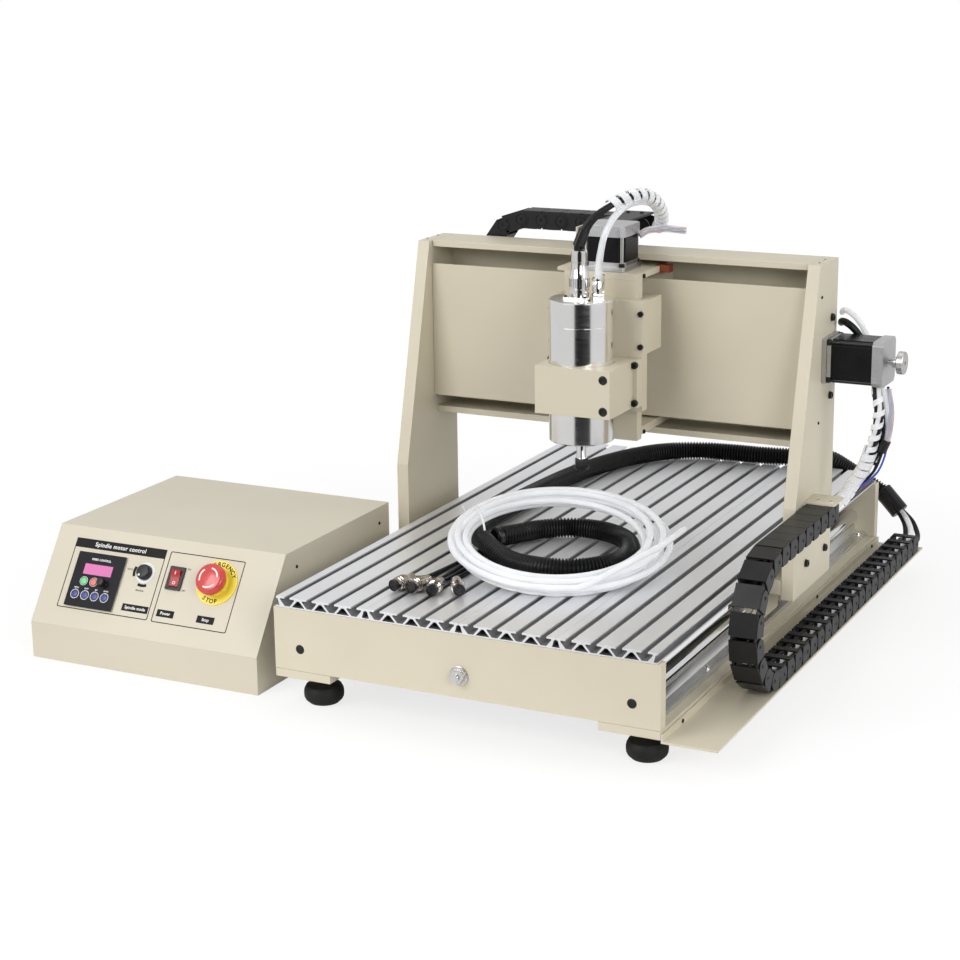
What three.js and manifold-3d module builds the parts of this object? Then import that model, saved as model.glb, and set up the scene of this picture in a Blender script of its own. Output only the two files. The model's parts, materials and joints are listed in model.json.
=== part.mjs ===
// Desktop moving-gantry CNC router with its control box.
// Millimetres, +X to the right along the gantry, +Y to the rear, +Z up.
// The layout below is written from the front left top corner of the table;
// the whole group is then shifted so that the floor is at z = 0 and the
// machine is centred on the origin.
import * as THREE from 'three';
import { mergeVertices } from 'three/addons/utils/BufferGeometryUtils.js';
import Module from 'manifold-3d';

const wasm = await Module();
wasm.setup();

// ---- Driving dimensions ---------------------------------------------------
const GAP = 0.3; // clearance between touching pieces
const RUNNING_GAP = 0.5; // around a shaft in its bearing

const FRAME_LENGTH = 820; // over the end plates
const PROFILE_COUNT = 4;
const PROFILE_WIDTH = 120;
const TABLE_WIDTH = PROFILE_COUNT * PROFILE_WIDTH;
const TABLE_THICKNESS = 13;
const FRAME_LEFT = -4;
const FRAME_RIGHT = TABLE_WIDTH + 4;
const END_PLATE_THICKNESS = 15;
const END_PLATE_BOTTOM = -89;
const BASE_BAR_BOTTOM = -99.6;
const BASE_BAR_WIDTH = 74;
const FLOOR = -140;

const RAIL_Z = -62; // centre height of the Y shafts and the Y screw
const RAIL_X = [30, TABLE_WIDTH - 30];
const RAIL_RADIUS = 10;
const SCREW_RADIUS = 8;
const SCREW_X = TABLE_WIDTH / 2;

const GANTRY_LEFT = -17; // inner faces of the gantry side plates
const GANTRY_RIGHT = TABLE_WIDTH + 17;
const GANTRY_PLATE = 16;
const GANTRY_FRONT = 359; // front edge of the feet of the side plates
const GANTRY_REAR = 502;
const GANTRY_TOP = 355;
const GANTRY_TOP_FRONT = 431; // front edge at the top
const GANTRY_KNEE = 70; // height where the sloping front edge starts
const GANTRY_BOTTOM = -46;

const BEAM_FRONT = 439;
const BEAM_BOTTOM = 124;
const PLATE = 8;
const COVER_BOTTOM = 149;
const COVER_TOP = 325;
const X_SHAFT_Y = 470;
const X_SHAFT_Z = [180, 292];
const X_SHAFT_RADIUS = 8;
const X_SCREW_Y = 472;
const X_SCREW_Z = 236;

const AXIS_X = 252; // centre line of the carriage at rest
const Z_FRAME_HALF = 49;
const Z_FRAME_FRONT = 372.5;
const Z_FRAME_PLATE = 15;
const Z_ARM_TOP = 340;
const Z_ARM_THICKNESS = 7.5;
const Z_ARM_LOW = 136;
const Z_ARM_LOW_TOP = 146;
const Z_ROD_X = 32;
const Z_ROD_Y = 404;
const Z_ROD_RADIUS = 6;
const Z_SCREW_Y = 406;
const SLIDE_HALF = 62;
const SLIDE_FRONT = 357;
const SLIDE_BACK = 372;
const SLIDE_BOTTOM = 173;
const SLIDE_TOP = 310;
const CHEEK_BACK = 418;
const CHEEK_BOTTOM = 243;

const SPINDLE_Y = 314;
const SPINDLE_RADIUS = 40;
const SPINDLE_BOTTOM = 142.5;
const SPINDLE_TOP = 317.5;
const SPINDLE_NOSE = 104;

const MOTOR_SIZE = 56.4; // NEMA 23
const MOTOR_BORE = 4.6;

const CHAIN_WIDTH = 34;
const CHAIN_HEIGHT = 24;
const Y_CHAIN_X = 532.5;
const Y_CHAIN_RADIUS = 85; // outer radius of the bend
const Y_CHAIN_CENTRE = 205; // y of the bend at rest
const Y_CHAIN_REAR = 800;
const Y_CHAIN_HEAD = 418;
const TRAY_TOP = -100.5;
const TRAY_THICKNESS = 2.5;
const X_CHAIN_Y = 525;
const X_CHAIN_RADIUS = 58;
const X_CHAIN_CENTRE = 80;
const X_CHAIN_FIXED_END = 300;
const X_CHAIN_HEAD = 262;
const X_CHAIN_TOP = 390;

const BOX_LEFT = -383; // control box
const BOX_WIDTH = 337;
const BOX_FRONT = 23.5;
const BOX_DEPTH = 333;
const BOX_TOP = 17;
const BOX_SHEET = 1.5;
const PANEL_BOTTOM = -92; // height of the lower edge of the sloping panel
const PANEL_RISE = 75; // horizontal depth of the sloping panel

const KNOB_END = 611; // outer face of the X hand knob
const Y_KNOB_END = 918;
const NUT_FRONT = -11;

// ---- Materials --------------------------------------------------------------
function finish(color, roughness, metalness = 0) {
  return new THREE.MeshStandardMaterial({ color, roughness, metalness });
}
const PAINT = finish(0xd2cab4, 0.5);
const ALUMINIUM = finish(0xc9cacb, 0.35, 0.9);
const CHROME = finish(0xd8d8da, 0.08, 1);
const STEEL = finish(0x9a9a98, 0.3, 1);
const BLACK_PLASTIC = finish(0x1c1c1e, 0.45);
const MOTOR_BLACK = finish(0x18181a, 0.35, 0.4);
const RUBBER = finish(0x141414, 0.7);
const CLEAR_TUBE = finish(0xe6e9ee, 0.25);
const RED = finish(0xc8322d, 0.35);
const GREEN = finish(0x45a860, 0.4);
const BLUE = finish(0x33407f, 0.4);

// ---- Shape helpers ------------------------------------------------------------
const model = new THREE.Group();

function addPart(name, geometry, material) {
  const mesh = new THREE.Mesh(geometry, material);
  mesh.name = name;
  model.add(mesh);
  return mesh;
}

function block(x0, x1, y0, y1, z0, z1) {
  const geometry = new THREE.BoxGeometry(x1 - x0, y1 - y0, z1 - z0);
  return geometry.translate((x0 + x1) / 2, (y0 + y1) / 2, (z0 + z1) / 2);
}

// A closed outline, turned anticlockwise so that its holes are cut whichever way they run.
function outline(points) {
  const vectors = points.map(([a, b]) => new THREE.Vector2(a, b));
  return new THREE.Shape(THREE.ShapeUtils.isClockWise(vectors) ? vectors.reverse() : vectors);
}

function extrude(shape, depth, curveSegments = 12) {
  return new THREE.ExtrudeGeometry(shape, { depth, bevelEnabled: false, curveSegments });
}

// A shape drawn in (x, z), swept along +Y from y0 to y1.
function sweepY(shape, y0, y1, curveSegments) {
  return extrude(shape, y1 - y0, curveSegments).rotateX(Math.PI / 2).translate(0, y1, 0);
}

// A shape drawn in (y, z), swept along +X from x0 to x1.
function sweepX(shape, x0, x1, curveSegments) {
  const geometry = extrude(shape, x1 - x0, curveSegments);
  return geometry.rotateZ(Math.PI / 2).rotateY(Math.PI / 2).translate(x0, 0, 0);
}

// A turned piece: [radius, distance along the axis] pairs, axis through (a, b).
function turned(profile, segments = 24) {
  const points = profile.map(([radius, along]) => new THREE.Vector2(radius, along));
  return new THREE.LatheGeometry(points, segments);
}
function turnedX(profile, y, z, segments) {
  return turned(profile, segments).rotateZ(-Math.PI / 2).translate(0, y, z);
}
function turnedY(profile, x, z, segments) {
  return turned(profile, segments).translate(x, 0, z);
}
function turnedZ(profile, x, y, segments) {
  return turned(profile, segments).rotateX(Math.PI / 2).translate(x, y, 0);
}

const rod = (radius, from, to) => [[0, from], [radius, from], [radius, to], [0, to]];

function toSolid(geometry) {
  const bare = geometry.clone();
  bare.deleteAttribute('normal');
  bare.deleteAttribute('uv');
  const merged = mergeVertices(bare, 1e-4);
  return new wasm.Manifold(new wasm.Mesh({
    numProp: 3,
    vertProperties: new Float32Array(merged.attributes.position.array),
    triVerts: new Uint32Array(merged.index.array),
  }));
}

function toGeometry(solid) {
  const mesh = solid.getMesh();
  const geometry = new THREE.BufferGeometry();
  geometry.setAttribute('position', new THREE.BufferAttribute(new Float32Array(mesh.vertProperties), 3));
  geometry.setIndex(new THREE.BufferAttribute(new Uint32Array(mesh.triVerts), 1));
  geometry.computeVertexNormals();
  return geometry;
}

function combine(added, removed = []) {
  let solid = added.map(toSolid).reduce((whole, piece) => whole.add(piece));
  for (const cutter of removed) solid = solid.subtract(toSolid(cutter));
  return toGeometry(solid);
}

// A tube through a list of points, closed at both ends.
function tubeAlong(points, radius, sides, steps) {
  const curve = new THREE.CatmullRomCurve3(points.map((p) => new THREE.Vector3(...p)));
  const section = new THREE.Shape();
  for (let i = 0; i < sides; i += 1) {
    const angle = (i / sides) * 2 * Math.PI;
    const x = radius * Math.cos(angle);
    const y = radius * Math.sin(angle);
    if (i === 0) section.moveTo(x, y);
    else section.lineTo(x, y);
  }
  return new THREE.ExtrudeGeometry(section, { steps, bevelEnabled: false, extrudePath: curve });
}

// ---- Table --------------------------------------------------------------------
// One 120 mm extrusion: four T-slots, three hollow cells between them and an
// open groove along each side.
function tableProfile() {
  const slotCentres = [15, 45, 75, 105];
  const mouth = 3.75;
  const skin = 2;
  const undercut = 9.5;
  const undercutBottom = -3.6;
  const floorHalf = 3.4;
  const floor = -10.8;
  const grooveDepth = 4.5;
  const cellTop = -3.2;
  const cellBottom = -11;
  const cellTopHalf = 1.6;
  const cellBottomHalf = 8.6;
  const points = [[0, 0]];
  for (const c of slotCentres) {
    points.push([c - mouth, 0], [c - mouth, -skin], [c - undercut, -skin], [c - undercut, undercutBottom]);
    points.push([c - floorHalf, floor], [c + floorHalf, floor]);
    points.push([c + undercut, undercutBottom], [c + undercut, -skin], [c + mouth, -skin], [c + mouth, 0]);
  }
  points.push([PROFILE_WIDTH, 0], [PROFILE_WIDTH, -skin]);
  points.push([PROFILE_WIDTH - grooveDepth * 0.5, -skin - 1], [PROFILE_WIDTH - grooveDepth, floor]);
  points.push([PROFILE_WIDTH, floor], [PROFILE_WIDTH, -TABLE_THICKNESS + GAP], [0, -TABLE_THICKNESS + GAP]);
  points.push([0, floor], [grooveDepth, floor], [grooveDepth * 0.5, -skin - 1], [0, -skin]);
  const bar = sweepY(outline(points), 0, FRAME_LENGTH);
  const cells = [30, 60, 90].map((c) => sweepY(outline([
    [c - cellTopHalf, cellTop], [c + cellTopHalf, cellTop],
    [c + cellBottomHalf, cellBottom], [c - cellBottomHalf, cellBottom],
  ]), -1, FRAME_LENGTH + 1));
  return combine([bar], cells);
}

for (let i = 0; i < PROFILE_COUNT; i += 1) {
  const geometry = tableProfile();
  geometry.scale((PROFILE_WIDTH - GAP) / PROFILE_WIDTH, 1, 1);
  geometry.translate(i * PROFILE_WIDTH + GAP / 2, 0, 0);
  addPart(`table_profile_${i + 1}`, geometry, ALUMINIUM);
}

// ---- Base frame -----------------------------------------------------------------
function endPlate(y0, screwHole) {
  const shape = outline([
    [FRAME_LEFT, END_PLATE_BOTTOM], [FRAME_RIGHT, END_PLATE_BOTTOM],
    [FRAME_RIGHT, -TABLE_THICKNESS], [FRAME_LEFT, -TABLE_THICKNESS],
  ]);
  const hole = new THREE.Path().absarc(SCREW_X, RAIL_Z, screwHole, 0, 2 * Math.PI);
  shape.holes.push(hole);
  return sweepY(shape, y0, y0 + END_PLATE_THICKNESS, 12);
}
const SCREW_HOLE = 6.5;
addPart('front_plate', endPlate(0, SCREW_HOLE), PAINT);
addPart('rear_plate', endPlate(FRAME_LENGTH - END_PLATE_THICKNESS, SCREW_HOLE), PAINT);

// Aluminium rail support on its base bar, one extrusion under each Y shaft.
// The base bar is let in under the end plates and carries the feet.
function railSupport(x, barLeft, barRight) {
  const flange = 22.5;
  const flangeTop = -83.5;
  const webFoot = 8;
  const webTop = 4.5;
  const fillet = 1.5;
  const seat = RAIL_Z - RAIL_RADIUS - GAP;
  const section = outline([
    [x - flange, END_PLATE_BOTTOM - 1], [x + flange, END_PLATE_BOTTOM - 1], [x + flange, flangeTop],
    [x + webFoot, flangeTop + fillet], [x + webTop, seat], [x - webTop, seat],
    [x - webFoot, flangeTop + fillet], [x - flange, flangeTop],
  ]);
  const inside = END_PLATE_THICKNESS + GAP;
  const bar = block(barLeft, barRight, 0, FRAME_LENGTH, BASE_BAR_BOTTOM, END_PLATE_BOTTOM - GAP);
  return combine([sweepY(section, inside, FRAME_LENGTH - inside), bar]);
}
addPart('y_rail_left', railSupport(RAIL_X[0], FRAME_LEFT, FRAME_LEFT + BASE_BAR_WIDTH), ALUMINIUM);
addPart('y_rail_right', railSupport(RAIL_X[1], FRAME_RIGHT - BASE_BAR_WIDTH, FRAME_RIGHT), ALUMINIUM);

['left', 'right'].forEach((side, i) => {
  const inside = END_PLATE_THICKNESS + GAP;
  const shaft = turnedY(rod(RAIL_RADIUS, inside, FRAME_LENGTH - inside), RAIL_X[i], RAIL_Z, 24);
  addPart(`y_shaft_${side}`, shaft, CHROME);
});

// Rubber foot on its threaded stud.
function foot(x, y) {
  const top = BASE_BAR_BOTTOM - GAP;
  const profile = [
    [0, FLOOR], [21, FLOOR], [22.3, FLOOR + 2], [22.3, FLOOR + 13], [20, FLOOR + 19],
    [14, FLOOR + 25], [6.5, FLOOR + 27.5], [6.5, FLOOR + 29], [4, FLOOR + 29], [4, top], [0, top],
  ];
  return turnedZ(profile, x, y, 24);
}
const FOOT_X = [RAIL_X[0] + 6, RAIL_X[1] + 2];
const FOOT_Y = [42, FRAME_LENGTH - 42];
['front_left', 'front_right', 'rear_left', 'rear_right'].forEach((place, i) => {
  addPart(`foot_${place}`, foot(FOOT_X[i % 2], FOOT_Y[Math.floor(i / 2)]), RUBBER);
});

// L-shaped sheet that carries the Y energy chain.
const TRAY_LEFT = FRAME_RIGHT + GAP;
const TRAY_RIGHT = 550;
const TRAY_FLANGE_TOP = -92.5;
addPart('chain_tray', sweepY(outline([
  [TRAY_LEFT, TRAY_TOP - TRAY_THICKNESS], [TRAY_RIGHT, TRAY_TOP - TRAY_THICKNESS], [TRAY_RIGHT, TRAY_TOP],
  [TRAY_LEFT + TRAY_THICKNESS, TRAY_TOP], [TRAY_LEFT + TRAY_THICKNESS, TRAY_FLANGE_TOP],
  [TRAY_LEFT, TRAY_FLANGE_TOP],
]), 0, FRAME_LENGTH), PAINT);

// ---- Motors -----------------------------------------------------------------------
// A NEMA 23 stepper along +Z from z = 0: front flange, laminated body with cut
// corners and a rear cap. The shaft bore is left open for the screw.
function stepper(length, boreDepth) {
  const half = MOTOR_SIZE / 2;
  const square = (h, cut) => outline([
    [-h + cut, -h], [h - cut, -h], [h, -h + cut], [h, h - cut],
    [h - cut, h], [-h + cut, h], [-h, h - cut], [-h, -h + cut],
  ]);
  const flangeDepth = 6;
  const capDepth = 14;
  const flange = extrude(square(half, 3), flangeDepth);
  const body = extrude(square(half - 1.2, 7), length);
  const cap = extrude(square(half - 0.4, 5), capDepth).translate(0, 0, length - capDepth);
  const bore = turnedZ(rod(MOTOR_BORE, -1, boreDepth), 0, 0, 16);
  return combine([flange, body, cap], [bore]);
}
const FLANGE_START = FRAME_LENGTH + GAP;
const LONG_MOTOR = 76;
const SHORT_MOTOR = 56;
const THROUGH = 80;
const HALFWAY = 24;
addPart('y_motor', stepper(LONG_MOTOR, THROUGH).rotateX(-Math.PI / 2)
  .translate(SCREW_X, FLANGE_START, RAIL_Z), MOTOR_BLACK);

// A ball screw with its journals, and a hand knob on the motor's far side.
function screwWithKnob(start, threadStart, threadEnd, motorStart, knobStart, knobEnd, frontEnd) {
  const journal = 5;
  const shaft = 4;
  const hub = 6;
  const knob = 14;
  const chamfer = 1.5;
  return [
    [0, start], ...frontEnd, [SCREW_RADIUS, threadStart], [SCREW_RADIUS, threadEnd],
    [journal, threadEnd], [journal, motorStart - 2], [shaft, motorStart - 2], [shaft, knobStart - 4],
    [hub, knobStart - 4], [hub, knobStart], [knob, knobStart], [knob, knobEnd - chamfer],
    [knob - chamfer, knobEnd], [0, knobEnd],
  ];
}
const KNOB_WIDTH = 7;
const Y_KNOB_START = Y_KNOB_END - KNOB_WIDTH;
addPart('y_screw', turnedY(screwWithKnob(
  NUT_FRONT, 20, FRAME_LENGTH - 22, FLANGE_START, Y_KNOB_START, Y_KNOB_END,
  [[5, NUT_FRONT], [5, -8.5], [9, -8.5], [9, -2], [11.5, -2], [11.5, -GAP], [5.5, -GAP], [5.5, 20]],
), SCREW_X, RAIL_Z, 24), STEEL);

// ---- Gantry ------------------------------------------------------------------------
function gantryPlate(x0, holes) {
  const shape = outline([
    [GANTRY_FRONT, GANTRY_BOTTOM], [GANTRY_REAR, GANTRY_BOTTOM], [GANTRY_REAR, GANTRY_TOP],
    [GANTRY_TOP_FRONT, GANTRY_TOP], [GANTRY_FRONT, GANTRY_KNEE],
  ]);
  for (const radius of holes) {
    shape.holes.push(new THREE.Path().absarc(X_SCREW_Y, X_SCREW_Z, radius, 0, 2 * Math.PI));
  }
  return sweepX(shape, x0, x0 + GANTRY_PLATE, 12);
}
addPart('gantry_left_plate', gantryPlate(GANTRY_LEFT - GANTRY_PLATE, [6]), PAINT);
addPart('gantry_right_plate', gantryPlate(GANTRY_RIGHT, [9]), PAINT);

const SPAN_LEFT = GANTRY_LEFT + GAP;
const SPAN_RIGHT = GANTRY_RIGHT - GAP;

// Cross plate under the table, with the four rail bearings and the ball nut.
function gantryBase() {
  const top = -22;
  const bottom = -40;
  const bearingHalf = 24;
  const bearingLength = 50;
  const bearingBottom = -75;
  const openingHalf = 7;
  const nutHalf = 22;
  const nutFront = 408;
  const nutDepth = 18;
  const cross = block(SPAN_LEFT, SPAN_RIGHT, GANTRY_FRONT, GANTRY_REAR - 2, bottom, top);
  const bearings = RAIL_X.flatMap((x) => [GANTRY_FRONT + 9, GANTRY_REAR - 61].map((y0) => block(
    x - bearingHalf, x + bearingHalf, y0, y0 + bearingLength, bearingBottom, bottom + 1)));
  const nut = block(SCREW_X - nutHalf, SCREW_X + nutHalf, nutFront, nutFront + 2 * nutHalf,
    RAIL_Z - nutDepth, bottom + 1);
  const y0 = GANTRY_FRONT - 1;
  const bores = RAIL_X.flatMap((x) => [
    turnedY(rod(RAIL_RADIUS + RUNNING_GAP, y0, GANTRY_REAR), x, RAIL_Z, 24),
    block(x - openingHalf, x + openingHalf, y0, GANTRY_REAR, bearingBottom - 5, RAIL_Z),
  ]);
  const screwBore = turnedY(rod(SCREW_RADIUS + RUNNING_GAP, y0, GANTRY_REAR), SCREW_X, RAIL_Z, 24);
  return combine([cross, ...bearings, nut], [...bores, screwBore]);
}
addPart('gantry_base', gantryBase(), PAINT);

addPart('beam_top_plate', block(
  SPAN_LEFT, SPAN_RIGHT, BEAM_FRONT, GANTRY_REAR, GANTRY_TOP - PLATE, GANTRY_TOP), PAINT);

// Bottom plate, rear plate and chain shelf of the beam, folded in one.
const REAR_PLATE_FRONT = GANTRY_REAR - 6;
const SHELF_TOP = X_CHAIN_TOP - 2 * X_CHAIN_RADIUS - GAP;
const SHELF_THICKNESS = 5;
const SHELF_REAR = X_CHAIN_Y + 20;
const BOTTOM_PLATE_FRONT = 446;
addPart('beam_channel', sweepX(outline([
  [BOTTOM_PLATE_FRONT, BEAM_BOTTOM], [GANTRY_REAR, BEAM_BOTTOM], [GANTRY_REAR, SHELF_TOP - SHELF_THICKNESS],
  [SHELF_REAR, SHELF_TOP - SHELF_THICKNESS], [SHELF_REAR, SHELF_TOP], [GANTRY_REAR, SHELF_TOP],
  [GANTRY_REAR, GANTRY_TOP - PLATE - GAP], [REAR_PLATE_FRONT, GANTRY_TOP - PLATE - GAP],
  [REAR_PLATE_FRONT, BEAM_BOTTOM + PLATE], [BOTTOM_PLATE_FRONT, BEAM_BOTTOM + PLATE],
]), SPAN_LEFT, SPAN_RIGHT), PAINT);
addPart('beam_cover', block(
  SPAN_LEFT, SPAN_RIGHT, BEAM_FRONT - 2, BEAM_FRONT + 1, COVER_BOTTOM, COVER_TOP), PAINT);

['lower', 'upper'].forEach((place, i) => {
  const shaft = turnedX(rod(X_SHAFT_RADIUS, SPAN_LEFT, SPAN_RIGHT), X_SHAFT_Y, X_SHAFT_Z[i], 20);
  addPart(`x_shaft_${place}`, shaft, CHROME);
});

const X_FLANGE_START = GANTRY_RIGHT + GANTRY_PLATE + GAP;
addPart('x_motor', stepper(LONG_MOTOR, THROUGH).rotateY(Math.PI / 2)
  .translate(X_FLANGE_START, X_SCREW_Y, X_SCREW_Z), MOTOR_BLACK);
const X_SCREW_START = GANTRY_LEFT - GANTRY_PLATE + 1;
addPart('x_screw', turnedX(screwWithKnob(
  X_SCREW_START, 0, GANTRY_RIGHT - 12, X_FLANGE_START, KNOB_END - KNOB_WIDTH, KNOB_END,
  [[5, X_SCREW_START], [5, 0]],
), X_SCREW_Y, X_SCREW_Z, 20), STEEL);

// ---- Energy chains -------------------------------------------------------------------
function chainBend(radius) {
  const shape = new THREE.Shape();
  const inner = radius - CHAIN_HEIGHT;
  shape.absarc(0, 0, radius, Math.PI / 2, 1.5 * Math.PI, false);
  shape.absarc(0, 0, inner, 1.5 * Math.PI, Math.PI / 2, true);
  return shape;
}
const HALF_CHAIN = CHAIN_WIDTH / 2;
const Y_CHAIN_Z = TRAY_TOP + GAP + Y_CHAIN_RADIUS;
const Y_CHAIN_X0 = Y_CHAIN_X - HALF_CHAIN;
const Y_CHAIN_X1 = Y_CHAIN_X + HALF_CHAIN;
addPart('y_chain_fixed', block(Y_CHAIN_X0, Y_CHAIN_X1, Y_CHAIN_CENTRE + GAP, Y_CHAIN_REAR,
  TRAY_TOP + GAP, TRAY_TOP + GAP + CHAIN_HEIGHT), BLACK_PLASTIC);
addPart('y_chain_bend', sweepX(chainBend(Y_CHAIN_RADIUS), Y_CHAIN_X0, Y_CHAIN_X1, 20)
  .translate(0, Y_CHAIN_CENTRE, Y_CHAIN_Z), BLACK_PLASTIC);
const Y_CHAIN_TOP = Y_CHAIN_Z + Y_CHAIN_RADIUS;
// Upper run with the bracket that screws it to the right side plate.
const BRACKET_SHEET = 2.5;
addPart('y_chain_moving', combine([
  block(Y_CHAIN_X0, Y_CHAIN_X1, Y_CHAIN_CENTRE + GAP, Y_CHAIN_HEAD, Y_CHAIN_TOP - CHAIN_HEIGHT, Y_CHAIN_TOP),
  block(GANTRY_RIGHT + GANTRY_PLATE + GAP, Y_CHAIN_X1, Y_CHAIN_HEAD - 32, Y_CHAIN_HEAD + 6,
    Y_CHAIN_TOP - 1, Y_CHAIN_TOP + BRACKET_SHEET),
]), BLACK_PLASTIC);

const X_CHAIN_Y0 = X_CHAIN_Y - HALF_CHAIN;
const X_CHAIN_Y1 = X_CHAIN_Y + HALF_CHAIN;
const X_CHAIN_Z = X_CHAIN_TOP - X_CHAIN_RADIUS;
addPart('x_chain_fixed', block(X_CHAIN_CENTRE + GAP, X_CHAIN_FIXED_END, X_CHAIN_Y0, X_CHAIN_Y1,
  SHELF_TOP + GAP, SHELF_TOP + GAP + CHAIN_HEIGHT), BLACK_PLASTIC);
addPart('x_chain_bend', sweepY(chainBend(X_CHAIN_RADIUS), X_CHAIN_Y0, X_CHAIN_Y1, 16)
  .translate(X_CHAIN_CENTRE, 0, X_CHAIN_Z), BLACK_PLASTIC);

// ---- X carriage and Z frame ------------------------------------------------------------
function carriageFrame() {
  const left = AXIS_X - Z_FRAME_HALF;
  const right = AXIS_X + Z_FRAME_HALF;
  const back = 490;
  const carriageFront = 455;
  const plateBottom = 131;
  const ear = 18;
  const motorHole = 7;
  const armBottom = Z_ARM_TOP - Z_ARM_THICKNESS;
  const plateBack = Z_FRAME_FRONT + Z_FRAME_PLATE;
  const added = [
    block(left, right, Z_FRAME_FRONT, plateBack, plateBottom, Z_ARM_TOP - 1),
    block(left, right, Z_FRAME_FRONT - 0.5, back, armBottom, Z_ARM_TOP),
    block(left - ear, left + 1, plateBack + 3, BEAM_FRONT - 1, armBottom + 3, Z_ARM_TOP),
    block(left, right, Z_FRAME_FRONT + 1, back, Z_ARM_LOW, Z_ARM_LOW_TOP),
    block(left, right, carriageFront, back, Z_ARM_LOW + 1, Z_ARM_TOP - 1),
    ...[-Z_ROD_X, Z_ROD_X].map((dx) => turnedZ(
      rod(Z_ROD_RADIUS, Z_ARM_LOW_TOP - 1, armBottom + 1), AXIS_X + dx, Z_ROD_Y, 16)),
  ];
  const removed = [
    ...X_SHAFT_Z.map((z) => turnedX(
      rod(X_SHAFT_RADIUS + RUNNING_GAP, left - 1, right + 1), X_SHAFT_Y, z, 20)),
    turnedX(rod(SCREW_RADIUS + RUNNING_GAP, left - 1, right + 1), X_SCREW_Y, X_SCREW_Z, 20),
    turnedZ(rod(motorHole, armBottom - 1, Z_ARM_TOP + 1), AXIS_X, Z_SCREW_Y, 20),
  ];
  return combine(added, removed);
}
addPart('carriage_frame', carriageFrame(), PAINT);
addPart('z_motor', stepper(SHORT_MOTOR, HALFWAY)
  .translate(AXIS_X, Z_SCREW_Y, Z_ARM_TOP + GAP), MOTOR_BLACK);
addPart('z_screw', turnedZ([
  [0, Z_ARM_LOW_TOP + 3], [5, Z_ARM_LOW_TOP + 3], [5, 160], [6, 160], [6, 322], [5, 322], [5, 338],
  [4, 338], [4, 360], [0, 360],
], AXIS_X, Z_SCREW_Y, 20), STEEL);

// Upper run of the X chain with the bracket that stands beside the Z motor.
const BRACKET_X = AXIS_X - 38;
const BRACKET_FRONT = 382;
addPart('x_chain_moving', combine([
  block(X_CHAIN_CENTRE + GAP, X_CHAIN_HEAD, X_CHAIN_Y0, X_CHAIN_Y1, X_CHAIN_TOP - CHAIN_HEIGHT, X_CHAIN_TOP),
  block(BRACKET_X, BRACKET_X + BRACKET_SHEET, BRACKET_FRONT, BEAM_FRONT - 1,
    Z_ARM_TOP + GAP, X_CHAIN_TOP + BRACKET_SHEET),
  block(BRACKET_X, X_CHAIN_HEAD, BEAM_FRONT - 2, X_CHAIN_Y1, X_CHAIN_TOP - 0.5, X_CHAIN_TOP + BRACKET_SHEET),
]), BLACK_PLASTIC);

// ---- Z slide and spindle -----------------------------------------------------------------
function zSlide() {
  const left = AXIS_X - SLIDE_HALF;
  const right = AXIS_X + SLIDE_HALF;
  const cheek = 11.5;
  const blockFront = Z_FRAME_FRONT + Z_FRAME_PLATE + 3;
  const added = [
    block(left, right, SLIDE_FRONT, SLIDE_BACK, SLIDE_BOTTOM, SLIDE_TOP),
    block(left, left + cheek, SLIDE_BACK - 1, CHEEK_BACK, CHEEK_BOTTOM, SLIDE_TOP - 1),
    block(right - cheek, right, SLIDE_BACK - 1, CHEEK_BACK, CHEEK_BOTTOM, SLIDE_TOP - 1),
    block(left + 1, right - 1, blockFront, CHEEK_BACK - 1, CHEEK_BOTTOM + 1, SLIDE_TOP - 2),
  ];
  const bores = [-Z_ROD_X, Z_ROD_X].map((dx) => turnedZ(
    rod(Z_ROD_RADIUS + RUNNING_GAP, CHEEK_BOTTOM - 1, SLIDE_TOP + 1), AXIS_X + dx, Z_ROD_Y, 16));
  const screwBore = turnedZ(rod(6.6, CHEEK_BOTTOM - 1, SLIDE_TOP + 1), AXIS_X, Z_SCREW_Y, 20);
  return combine(added, [...bores, screwBore]);
}
addPart('z_slide_plate', zSlide(), PAINT);

const CLAMP_BOTTOM = 181;
const CLAMP_TOP = 240;
const CLAMP_FRONT = SPINDLE_Y - 44.5;
const FLANGE_FRONT = 340;
addPart('spindle_clamp', combine([
  block(AXIS_X - 42.5, AXIS_X + 53, CLAMP_FRONT, SLIDE_FRONT - GAP, CLAMP_BOTTOM, CLAMP_TOP),
  block(AXIS_X - 56, AXIS_X + 61, FLANGE_FRONT, SLIDE_FRONT - GAP, CLAMP_BOTTOM + 0.01, CLAMP_TOP - 0.01),
], [turnedZ(rod(SPINDLE_RADIUS + 0.4, CLAMP_BOTTOM - 1, CLAMP_TOP + 1), AXIS_X, SPINDLE_Y, 48)]), PAINT);

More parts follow.
